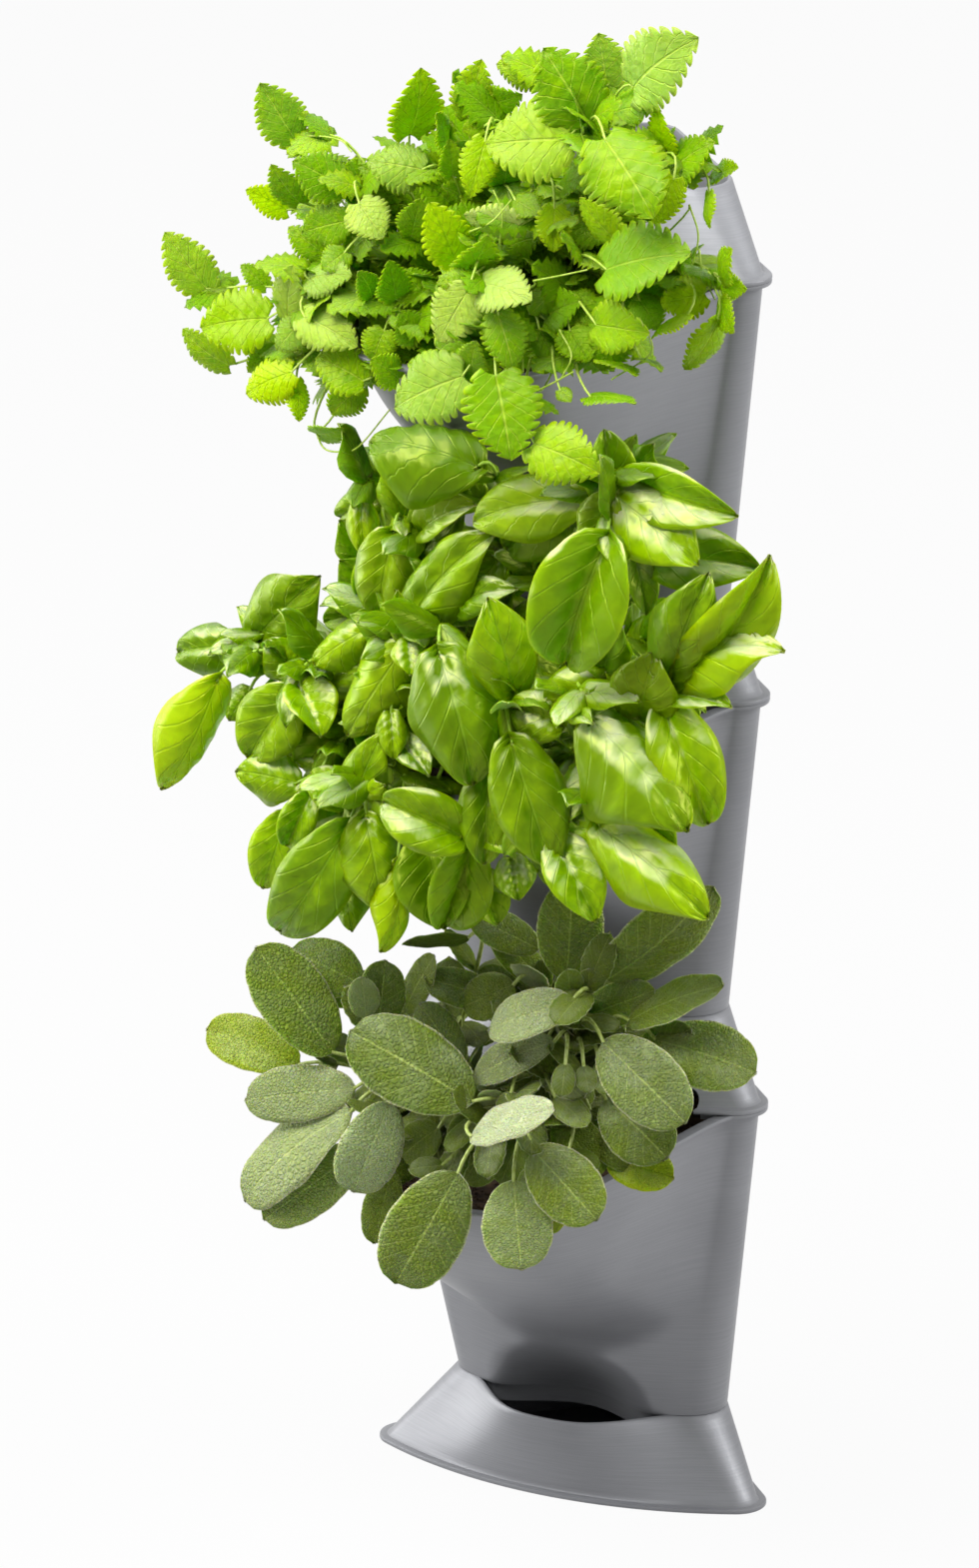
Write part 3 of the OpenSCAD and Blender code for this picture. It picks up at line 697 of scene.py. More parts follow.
class Recipe(Nodes):
    def __init__(self, name, **sizes):
        super().__init__(bpy.data.node_groups.new(name, "GeometryNodeTree"))
        plugs = self.tree.interface
        plugs.new_socket("Geometry", in_out="OUTPUT", socket_type="NodeSocketGeometry")
        self.sockets = {}
        for size, kind in {"Geometry": "Geometry", **sizes}.items():
            self.sockets[size] = plugs.new_socket(size, in_out="INPUT", socket_type="NodeSocket" + kind)
        self.given = self.tree.nodes.new("NodeGroupInput")
        self.result = self.tree.nodes.new("NodeGroupOutput")

    def size(self, name):
        return Wire(self, self.given.outputs[name])

    def attribute(self, name, kind):
        return self.add("GeometryNodeInputNamedAttribute", {"data_type": kind}, {"Name": name})

    # Every tree ends the same way
    def end(self, shape):
        real = self.add("GeometryNodeRealizeInstances", None, {0: shape})
        painted = self.add("GeometryNodeSetMaterial", None, {0: real, "Material": self.size("Material")})
        self.feed(self.result.inputs[0], painted)

    def run(self, piece, **values):
        grow = piece.modifiers.new("grow", "NODES")
        grow.node_group = self.tree
        for name, value in values.items():
            grow[self.sockets[name].identifier] = value
        bake(piece)


# Stems: a tube along each line, as thick as its points say
def stemRecipe():
    recipe = Recipe("stemTubes", Sides="Int", Material="Material")
    line = recipe.add("GeometryNodeMeshToCurve", None, {0: recipe.size("Geometry")})
    sockets = {"Resolution": recipe.size("Sides"), "Radius": 1.0}
    ring = recipe.add("GeometryNodeCurvePrimitiveCircle", None, sockets)
    thickness = recipe.attribute("thickness", "FLOAT")
    sockets = {0: line, 1: ring, "Fill Caps": True, "Scale": thickness}
    tube = recipe.add("GeometryNodeCurveToMesh", None, sockets)
    recipe.end(recipe.add("GeometryNodeSetShadeSmooth", None, {0: tube}))
    return recipe


# Small leaves: one leaf on each point, turned and sized as the point says
def leafRecipe():
    recipe = Recipe("smallLeaves", Leaf="Object", Material="Material")
    leaf = recipe.add("GeometryNodeObjectInfo", None, {"Object": recipe.size("Leaf")}, 4)
    turn = recipe.add("FunctionNodeEulerToRotation", None, {0: recipe.attribute("turn", "FLOAT_VECTOR")})
    size = recipe.attribute("size", "FLOAT")
    sockets = {0: recipe.size("Geometry"), "Instance": leaf, "Rotation": turn, "Scale": size}
    recipe.end(recipe.add("GeometryNodeInstanceOnPoints", None, sockets))
    return recipe


# Crumbs: small lumps strewn over whatever of the soil faces up
def crumbRecipe():
    sizes = {name: "Float" for name in ("Density", "Smallest", "Largest")}
    recipe = Recipe("soilCrumbs", Material="Material", **sizes, Seed="Int")
    bed, density, smallest, largest, seed = (recipe.size(name) for name in ("Geometry", *sizes, "Seed"))
    facing = recipe.add("GeometryNodeInputNormal")
    height = recipe.add("ShaderNodeSeparateXYZ", None, {0: facing}, 2)
    upward = recipe.add("FunctionNodeCompare", {"operation": "GREATER_THAN"}, {0: height, 1: 0.6})
    sockets = {0: bed, "Selection": upward, "Density": density, "Seed": seed}
    points = recipe.add("GeometryNodeDistributePointsOnFaces", None, sockets)
    lump = recipe.add("GeometryNodeMeshIcoSphere", None, {"Radius": 1.0, "Subdivisions": 1})
    anyTurn = {0: (0, 0, 0), 1: (6.3, 6.3, 6.3), "Seed": seed}
    angles = recipe.add("FunctionNodeRandomValue", {"data_type": "FLOAT_VECTOR"}, anyTurn)
    turn = recipe.add("FunctionNodeEulerToRotation", None, {0: angles})
    anySize = {2: smallest, 3: largest, "Seed": seed}
    size = recipe.add("FunctionNodeRandomValue", {"data_type": "FLOAT"}, anySize, 1)
    sockets = {0: points, "Instance": lump, "Rotation": turn, "Scale": size}
    crumbs = recipe.add("GeometryNodeInstanceOnPoints", None, sockets)
    recipe.end(recipe.add("GeometryNodeJoinGeometry", None, {0: crumbs}))
    recipe.feed(recipe.tree.nodes["Join Geometry"].inputs[0], bed)
    return recipe


stemTubes, smallLeaves, soilCrumbs = stemRecipe(), leafRecipe(), crumbRecipe()

# Soil

soilLook = {
    "lumps": 3.0, "lumpSize": 30.0, "waves": 5, "rounds": 26, "layers": 16, "seed": 11,
    "wallFade": 8, "firstLayer": 8, "sharpFrom": 60,
    "crumbs": {"Density": 26000.0, "Smallest": 0.0008, "Largest": 0.0022}, "crumbSeed": 5,
}


# Rings of the soil's lumpy top, from the pot's wall to the middle
def soilTop(ring, height, seed):
    hub = np.array(shell["hub"])
    rings = []
    rng = np.random.default_rng(seed)
    waves = rng.uniform(0.4, 1.0, (soilLook["waves"], 2)) * 2 * np.pi / soilLook["lumpSize"]
    phases = rng.uniform(0, 6.3, soilLook["waves"])
    for share in np.linspace(1, 0.04, soilLook["rounds"]):
        flat = hub + (ring[:, :2] - hub) * share
        bumps = sum(np.sin(flat @ wave + phase) for wave, phase in zip(waves, phases)) / soilLook["waves"]
        dip = soilLook["lumps"] * (0.5 - 0.5 * bumps) * min(1, (1 - share) * soilLook["wallFade"])
        rings.append(atHeight(flat, height - dip))
    return rings


def makeSoil(level, k):
    inset = shell["potWall"] + shell["soilGap"]
    bottom = shell["skirtHeight"] + shell["potWall"] + shell["gridThick"]
    first = bottom + soilLook["firstLayer"]
    heights = [bottom, *np.linspace(first, shell["soilHeight"], soilLook["layers"])]
    rings = [atHeight(inward(wallLevel(z), inset), z)[::2] for z in heights]
    rings += soilTop(rings[-1], shell["soilHeight"], soilLook["seed"] + k)[1:]
    soil = loft("soilBed_" + level, rings, material="pottingSoil")
    soil.data.transform(Matrix.Translation((0, 0, k * shell["pitch"] / 1000)))
    smooth(soil, soilLook["sharpFrom"])
    soilCrumbs.run(soil, Material=materials["pottingSoil"], Seed=soilLook["crumbSeed"] + k,
                   **soilLook["crumbs"])
    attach(soil, "pot_" + level)
    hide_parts("soil_" + level)


for k, level in enumerate(levels):
    makeSoil(level, k)
print("soil made")


# Leaves


# Half the leaf's width along its length, as a share of its widest half
def outline(herb, v):
    if herb == "sage":
        return np.clip(4 * v * (1 - v), 0, 1) ** 0.5 * (0.92 + 0.16 * v)
    if herb == "basil":
        body = np.clip(np.sin(np.pi * np.clip(v, 0, 1) ** 0.8), 0, 1) ** 0.62
        return body * (1 - 0.45 * v ** 6)
    body = np.clip(np.sin(np.pi * np.clip(v * 0.97 + 0.03, 0, 1) ** 0.72), 0, 1) ** 0.7
    return body * (1 - 0.12 * v ** 3)


# One leaf's upper side, with its stalk's end at the origin, its tip along +Y and its face up
def leafShape(look, length, width, rng, bend=None):
    v = np.linspace(0, 1, look["rows"])
    s = np.linspace(-1, 1, look["columns"])
    # The midrib's bend from stalk to tip
    bend = look["bend"] * rng.uniform(0.5, 1.3) if bend is None else bend
    angle = -bend * (v ** 1.3 - 0.35)
    step = length / (look["rows"] - 1)
    yLine = np.concatenate([[0], np.cumsum(np.cos((angle[1:] + angle[:-1]) / 2))]) * step
    zLine = np.concatenate([[0], np.cumsum(np.sin((angle[1:] + angle[:-1]) / 2))]) * step
    # The outline and its teeth
    half = outline(look["herb"], v) * width / 2
    tooth = (v * look["teeth"]) % 1
    scallop = np.sqrt(np.clip(1 - (2 * tooth ** 0.7 - 1) ** 2, 0, 1))
    notch = look["toothSize"] * width * (scallop - 0.5) * np.clip(np.sin(np.pi * v) * 3, 0, 1)
    reach = np.abs(s)[None, :]
    x = s[None, :] * half[:, None] + np.sign(s)[None, :] * notch[:, None] * reach ** 4
    # What rises from the flat: the fold along the midrib, the cup, the quilting and a wavy edge
    twist = rng.uniform(-0.35, 0.35) * v
    fold, cup = look["fold"] * rng.uniform(0.5, 1.6), look["cup"] * rng.uniform(0.4, 1.5)
    share = x / (width / 2)
    rise = width / 2 * (fold * np.abs(share) * 2 - cup * share ** 2 * 2)
    ladder = (v[:, None] - look["veinLean"] * reach ** 0.8) * look["veins"]
    quilt = look["quilt"] * width / 40 * np.cos(2 * np.pi * ladder)
    rise = rise - quilt * np.clip(reach * 3, 0, 1) * (1 - reach ** 4)
    ripple = rng.uniform(0.4, 1.0) * 0.03 * width
    wave = ripple * np.sin(2 * np.pi * (rng.uniform(1.5, 2.6) * v + rng.uniform(0, 1)))
    rise = rise + wave[:, None] * reach ** 3 * np.where(s > 0, 1, -1)[None, :]
    # The twist, then the bend; broad leaves also run back past their stalk's end
    across = x * np.cos(twist)[:, None] - rise * np.sin(twist)[:, None]
    up = x * np.sin(twist)[:, None] + rise * np.cos(twist)[:, None]
    y = yLine[:, None] - np.sin(angle)[:, None] * up
    z = zLine[:, None] + np.cos(angle)[:, None] * up
    if look["herb"] != "sage":
        y = y - np.clip(0.16 - v, 0, 1)[:, None] * reach ** 2 * length * 0.55
    top = np.stack([across, y, z], axis=2).reshape(-1, 3)
    along, side = np.meshgrid(v, (s + 1) / 2, indexing="ij")
    return top, np.stack([side.ravel(), along.ravel()], axis=1)


# A closed leaf: the sheet above, the same sheet below it, and a strip round the edge
def closeLeaf(look, top, place):
    rows, columns = look["rows"], look["columns"]
    grid = top.reshape(rows, columns, 3)
    normal = np.cross(np.gradient(grid, axis=1), np.gradient(grid, axis=0))
    size = np.linalg.norm(normal, axis=2, keepdims=True)
    normal = np.where(size > 1e-9, normal / np.maximum(size, 1e-9), [0, 0, 1])
    taper = np.minimum(1, (1 - np.abs(np.linspace(-1, 1, columns)))[None, :, None] * 3 + 0.25)
    below = (grid - normal * look["thick"] * taper).reshape(-1, 3)
    count = rows * columns
    faces = []
    for r in range(rows - 1):
        for c in range(columns - 1):
            a = r * columns + c
            faces.append([a, a + 1, a + columns + 1, a + columns])
            faces.append([count + a, count + a + columns, count + a + columns + 1, count + a + 1])
    number = np.arange(count).reshape(rows, columns)
    ring = [*number[0], *number[1:, -1], *number[-1, -2::-1], *number[-2:0:-1, 0]]
    faces += [[ring[i - 1], count + ring[i - 1], count + ring[i], ring[i]] for i in range(len(ring))]
    return np.concatenate([top, below]), np.concatenate([place, place]), faces, np.repeat([0.0, 1.0], count)


def wholeLeaf(look, length, width, rng, bend=None):
    return closeLeaf(look, *leafShape(look, length, width, rng, bend))


# Gives each point of a mesh a number or, with rows of three, a vector
def setPointData(mesh, name, values):
    values = np.asarray(values, np.float32)
    kind, key = ("FLOAT_VECTOR", "vector") if values.ndim == 2 else ("FLOAT", "value")
    mesh.attributes.new(name, kind, "POINT").data.foreach_set(key, values.ravel())


# Gives the leaves their UV map and the numbers that their material reads
def writeLeafData(mesh, places, **numbers):
    corners = np.zeros(len(mesh.loops), np.int32)
    mesh.loops.foreach_get("vertex_index", corners)
    flat = mesh.uv_layers.new(name="leafPlace")
    flat.data.foreach_set("uv", places[corners].astype(np.float32).ravel())
    for name, values in numbers.items():
        setPointData(mesh, name, values)
    mesh.polygons.foreach_set("use_smooth", [True] * len(mesh.polygons))


# Gathers the leaves of one plant into one mesh
class LeafHeap:
    def __init__(self):
        self.parts, self.faces, self.count = [], [], 0

    def add(self, points, place, faces, under, tone, seed):
        self.faces += [[self.count + i for i in face] for face in faces]
        self.parts.append((points, place, under, np.full(len(points), tone), np.full(len(points), seed)))
        self.count += len(points)

    def make(self, name, material):
        points, places, under, tone, seed = (np.concatenate(part) for part in zip(*self.parts))
        piece = addPiece(name, points, self.faces, material)
        writeLeafData(piece.data, places, under=under, tone=tone, seed=seed)
        return piece


# How the plants stand in the stack and how their stems and small leaves run. Lengths in millimetres, turns
# in radians.
growth = {
    "crownY": -230.0, "crownRise": 1.0, "stemSteps": 18, "stemSides": 7, "smallLength": 20.0,
    "coverFront": -186.0, "liftRoom": 40.0, "margin": 2.5, "tableStep": 2.0,
    "lean": (4, 16), "rollSpread": 0.15, "narrowest": 0.85, "tries": 3, "clearance": 0.5,
    "rootAcross": 5, "rootDeep": 4, "sway": 6, "stemRise": 36, "riseShare": 0.2,
    "kneeBack": 26, "backShare": 0.3, "kneeDeep": 4, "kneeUp": 6, "upShare": 0.1,
    "smallSizes": (0.8, 1.5), "smallFace": (0.15, -0.45, 0.9), "smallTurn": 0.3, "alongStem": 0.5,
    "smallForm": {"rows": 13, "columns": 5, "teeth": 6, "quilt": 0.0}, "smallTeeth": 1.6, "smallBend": 0.5,
}


# How far forward the stack's own surface comes at each height, so that leaves stay in front of it
def frontTable():
    table = []
    pitch, skirt = shell["pitch"], shell["skirtHeight"]
    for z in np.arange(0, pitch, growth["tableStep"]):
        if z < skirt:
            ring = flangePlan if z <= shell["flangeThick"] else rimPlan + (collarPlan - rimPlan) * z / skirt
            top = np.full(len(ring), pitch)
        else:
            ring, top = wallLevel(z), rimHeight
        bow = ring[isFront]
        table.append((bow[:, 0], bow[:, 1], top[isFront]))
    return table


frontRows = frontTable()


# The most that any of these points is behind the surface in front of it, or too near the covers that lift
def tooFarBack(points):
    worst, pitch, skirt = 0.0, shell["pitch"], shell["skirtHeight"]
    for x, y, z in points[::3]:
        if z < 4 or z > 3 * pitch + skirt:
            continue
        local = z % pitch
        xs, ys, tops = frontRows[min(int(local / growth["tableStep"]), len(frontRows) - 1)]
        if x < xs[0] or x > xs[-1]:
            continue
        wall = np.interp(x, xs, ys)
        if local > shell["soilHeight"] + 3 and local > np.interp(x, xs, tops) - 1:
            wall = max(wall, growth["coverFront"])
        elif local < skirt + growth["liftRoom"]:
            wall = min(wall, growth["coverFront"])
        worst = max(worst, y - (wall - growth["margin"]))
    return worst


# The side and the face of a leaf that heads this way and faces the given way as nearly as it can
def leafAxes(heading, wanted):
    face = wanted - heading * (wanted @ heading)
    face /= np.linalg.norm(face)
    return np.cross(heading, face), face


# Puts a leaf with its stalk's end and tip at two places, its face towards the viewer but turned by roll
def seatLeaf(points, start, tip, roll):
    heading = (tip - start) / np.linalg.norm(tip - start)
    side, face = leafAxes(heading, viewBack + np.array([0, 0, 0.25]))
    cos, sin = math.cos(roll), math.sin(roll)
    face, side = face * cos + side * sin, side * cos - face * sin
    scale = np.linalg.norm(tip - start) / max(points[:, 1].max(), 1)
    return start + scale * (points[:, :1] * side + points[:, 1:2] * heading + points[:, 2:3] * face)


# A smooth line through four places
def bezier(a, b, c, d, steps):
    t = np.linspace(0, 1, steps)[:, None]
    return (1 - t) ** 3 * a + 3 * (1 - t) ** 2 * t * b + 3 * (1 - t) * t ** 2 * c + t ** 3 * d


# A smooth line through all of these places
def throughPlaces(places):
    ends = np.concatenate([[2 * places[0] - places[1]], places, [2 * places[-1] - places[-2]]])
    parts = []
    for a, b, c, d in zip(ends, ends[1:], ends[2:], ends[3:]):
        parts.append(bezier(b, b + (c - a) / 6, c - (d - b) / 6, c, 9)[:-1])
    return np.concatenate(parts + [places[-1:]])


def addStems(plant, look, body, lines, radii):
    edges, thickness, first = [], [], 0
    for line, (thick, thin) in zip(lines, radii):
        edges += [(first + i, first + i + 1) for i in range(len(line) - 1)]
        thickness.append(np.linspace(thick, thin, len(line)) / 1000)
        first += len(line)
    stems = linkMesh(plant + "_stems", np.concatenate(lines), edges, [])
    setPointData(stems.data, "thickness", np.concatenate(thickness))
    stemTubes.run(stems, Sides=growth["stemSides"], Material=materials[look["herb"] + "Stem"])
    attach(stems, body)


# Small leaves on the stems between the large ones
def addSmallLeaves(plant, look, body, spots, rng):
    plain = dict(look, **growth["smallForm"], toothSize=growth["smallTeeth"] * look["toothSize"])
    length, material = growth["smallLength"], look["herb"] + "Leaf"
    width = length * look["ratio"]
    top, place, faces, under = wholeLeaf(plain, length, width, rng, growth["smallBend"])
    leaf = addPiece("oneLeaf", top, faces, material)
    writeLeafData(leaf.data, place, under=under)
    places, turns, sizes, tones, seeds = zip(*spots)
    small = linkMesh(plant + "_smallLeaves", places, [], [])
    for name, values in (("turn", turns), ("size", sizes), ("tone", tones), ("seed", seeds)):
        setPointData(small.data, name, values)
    smallLeaves.run(small, Leaf=leaf, Material=materials[material])
    bpy.data.objects.remove(leaf)
    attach(small, body)


# One large leaf from its row of the list, moved forward where it would reach into the stack
def placeLeaf(heap, look, row, rng):
    startX, startY, tipX, tipY, wide, depth, tone = row
    lean = rng.uniform(*growth["lean"])
    start, tip = fromPhoto(startX, startY, depth), fromPhoto(tipX, tipY, depth + lean)
    length = np.linalg.norm(tip - start)
    seen = look["widen"] * wide * camera["distance"] / camera["focalPixels"]
    width = max(seen, growth["narrowest"] * look["ratio"] * length)
    roll = math.acos(min(1.0, seen / width)) * rng.choice([-1, 1])
    roll += rng.uniform(-growth["rollSpread"], growth["rollSpread"])
    points, place, faces, under = wholeLeaf(look, length, width, rng)
    seated = seatLeaf(points, start, tip, roll)
    for attempt in range(growth["tries"]):
        behind = tooFarBack(seated)
        if behind <= 0:
            break
        shift = viewBack * (behind + growth["clearance"]) / -viewBack[1]
        seated, start = seated + shift, start + shift
    heading = seated[(look["rows"] - 1) * look["columns"] + look["columns"] // 2] - start
    heap.add(seated, place, faces, under, tone, rng.uniform(0, 1))
    return start, heading / np.linalg.norm(heading)


# A stem from the crown that ends in line with its leaf
def stemTo(crown, start, heading, rng):
    across, deep, sway = (growth[key] for key in ("rootAcross", "rootDeep", "sway"))
    root = crown + np.array([rng.uniform(-across, across), rng.uniform(-deep, deep), 0])
    away = np.linalg.norm(start - root)
    lift = np.array([rng.uniform(-sway, sway), 0, growth["stemRise"] + growth["riseShare"] * away])
    back = min(growth["kneeBack"], growth["backShare"] * away)
    raised = np.array([0, growth["kneeDeep"], growth["kneeUp"] + growth["upShare"] * away])
    knee = start - heading * back + raised
    return bezier(root, root + lift, knee, start + heading, growth["stemSteps"])


# Pairs of small leaves along a stem, without those that would reach into the stack
def strewPairs(look, line, rng):
    spots = []
    last = len(line) - 1
    for n in range(look["fillers"]):
        share = (n + rng.uniform(0.5, 1.3)) / (look["fillers"] + 0.8)
        at = min(int(share * last), last - 3)
        along = line[at + 1] - line[at - 1]
        along /= np.linalg.norm(along)
        out = np.array([rng.uniform(-1, 1), rng.uniform(-1.2, 0.3), rng.uniform(-0.2, 0.8)])
        for hand in (1, -1):
            toward = hand * (out - along * (out @ along)) + growth["alongStem"] * along
            toward /= np.linalg.norm(toward)
            size = rng.uniform(*growth["smallSizes"]) * look["fillerSize"]
            end = line[at] + toward * growth["smallLength"] * size
            if end[1] > growth["coverFront"] - 2 or tooFarBack(end[None]) > 0:
                continue
            turned = rng.uniform(-growth["smallTurn"], growth["smallTurn"], 3)
            side, face = leafAxes(toward, growth["smallFace"] + turned)
            turn = Matrix(np.stack([side, toward, face], axis=1).tolist()).to_euler()
            spots.append((line[at], list(turn), size, rng.uniform(0.0, 0.6), rng.uniform(0, 1)))
    return spots


# A bare stalk or tendril from the crown through its places in the photograph
def strandTo(crown, strand):
    places = np.array([fromPhoto(*place) for place in strand])
    first = places[0] + np.array([0, 14, -10])
    rise = bezier(crown, crown + np.array([0, 0, 40]), first, places[0], 12)
    return np.concatenate([rise[:-1], throughPlaces(places)])


# One plant: a stem from its crown to each large leaf, the leaf itself, and small leaves along the stem
def makePlant(plant, look, leafRows, rng):
    body = "pot_" + look["level"]
    soilZ = levels.index(look["level"]) * shell["pitch"] + shell["soilHeight"]
    crown = np.array([crowns[plant], growth["crownY"], soilZ + growth["crownRise"]])
    heap, lines, radii, spots = LeafHeap(), [], [], []
    for row in leafRows:
        start, heading = placeLeaf(heap, look, row, rng)
        lines.append(stemTo(crown, start, heading, rng))
        radii.append((look["stemRadius"], look["petioleRadius"]))
        spots += strewPairs(look, lines[-1], rng)
    for strand in balmStrands.get(plant, []):
        lines.append(strandTo(crown, strand))
        radii.append((look["petioleRadius"], 0.7 * look["petioleRadius"]))
    leaves = heap.make(plant + "_leaves", look["herb"] + "Leaf")
    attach(leaves, body)
    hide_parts(plant)
    addStems(plant, look, body, lines, radii)
    if spots:
        addSmallLeaves(plant, look, body, spots, rng)


# Where the large leaves are in the photograph. Each row: the stalk's end across and down, the tip across and
# down and the width as seen, in the photograph's pixels; then the depth in millimetres and the tone, the
# light painted on the leaf: from 0, painted shade, past 1, painted light shining through, to 2, a pale
# painted sheen.

sageLeaves = {
    "sage_left": [
        (333, 1054, 256, 947, 72, 285, 0.35), (362, 985, 290, 950, 60, 262, 0.3),
        (300, 1066, 205, 1028, 54, 262, 0.8), (356, 1089, 243, 1100, 58, 292, 1.4),
        (352, 1112, 238, 1200, 58, 300, 1.4), (362, 1150, 262, 1222, 56, 292, 1.25),
        (390, 1103, 352, 1196, 62, 318, 1.55), (392, 1170, 374, 1246, 40, 300, 0.2),
        (378, 1030, 386, 962, 48, 290, 0.4), (366, 1018, 362, 978, 32, 305, 1.4),
        (404, 1013, 434, 956, 32, 280, 0.4), (440, 1128, 400, 1158, 44, 300, 0.2),
        (358, 1002, 312, 986, 28, 258, 0.6), (462, 1064, 420, 1004, 40, 290, 1.2),
        (500, 1002, 424, 978, 40, 275, 0.3), (470, 938, 402, 947, 14, 270, 0.15),
        (444, 1166, 408, 1170, 22, 322, 0.4), (430, 1140, 372, 1176, 50, 285, 0.05),
        (452, 1040, 430, 1090, 50, 268, 0.1),
    ],
    "sage_right": [
        (459, 1173, 394, 1288, 80, 345, 0.5), (474, 1103, 349, 1030, 84, 330, 0.4),
        (470, 1115, 455, 1150, 30, 305, 0.2), (567, 980, 574, 882, 66, 285, 0.35),
        (606, 981, 714, 893, 58, 290, 0.35), (629, 1022, 722, 984, 46, 295, 0.4),
        (586, 1016, 653, 992, 38, 280, 0.35), (603, 1042, 687, 1124, 72, 318, 1.25),
        (655, 1040, 756, 1072, 68, 288, 0.45), (606, 1100, 668, 1158, 66, 306, 0.35),
        (608, 1158, 674, 1178, 46, 296, 0.95), (573, 1002, 486, 1030, 50, 318, 1.5),
        (556, 1042, 472, 1078, 38, 305, 1.35), (471, 1138, 552, 1108, 44, 352, 1.95),
        (533, 1150, 598, 1221, 66, 338, 0.5), (514, 1181, 522, 1272, 70, 348, 1.3),
        (560, 1195, 548, 1236, 28, 330, 0.8), (566, 1064, 562, 1098, 24, 318, 0.4),
        (584, 1066, 590, 1094, 22, 312, 0.35), (600, 1066, 610, 1096, 26, 305, 0.35),
        (555, 1098, 588, 1126, 32, 310, 0.3), (512, 1092, 505, 1122, 26, 318, 0.4),
        (572, 1002, 568, 970, 30, 305, 0.4), (588, 994, 590, 970, 22, 300, 0.4),
        (515, 985, 462, 1008, 46, 285, 0.25), (540, 950, 470, 915, 40, 270, 0.35),
        (548, 990, 490, 925, 38, 262, 0.3), (500, 1128, 462, 1186, 48, 300, 0.1),
        (560, 1120, 602, 1176, 52, 300, 0.05), (590, 1110, 640, 1168, 50, 285, 0.1),
        (520, 1140, 500, 1186, 40, 310, 0.15), (545, 1050, 520, 1110, 48, 285, 0.1),
        (640, 1060, 690, 1030, 40, 280, 0.3), (570, 1150, 556, 1188, 36, 318, 0.2),
        (532, 1010, 478, 970, 40, 268, 0.15),
    ],
}
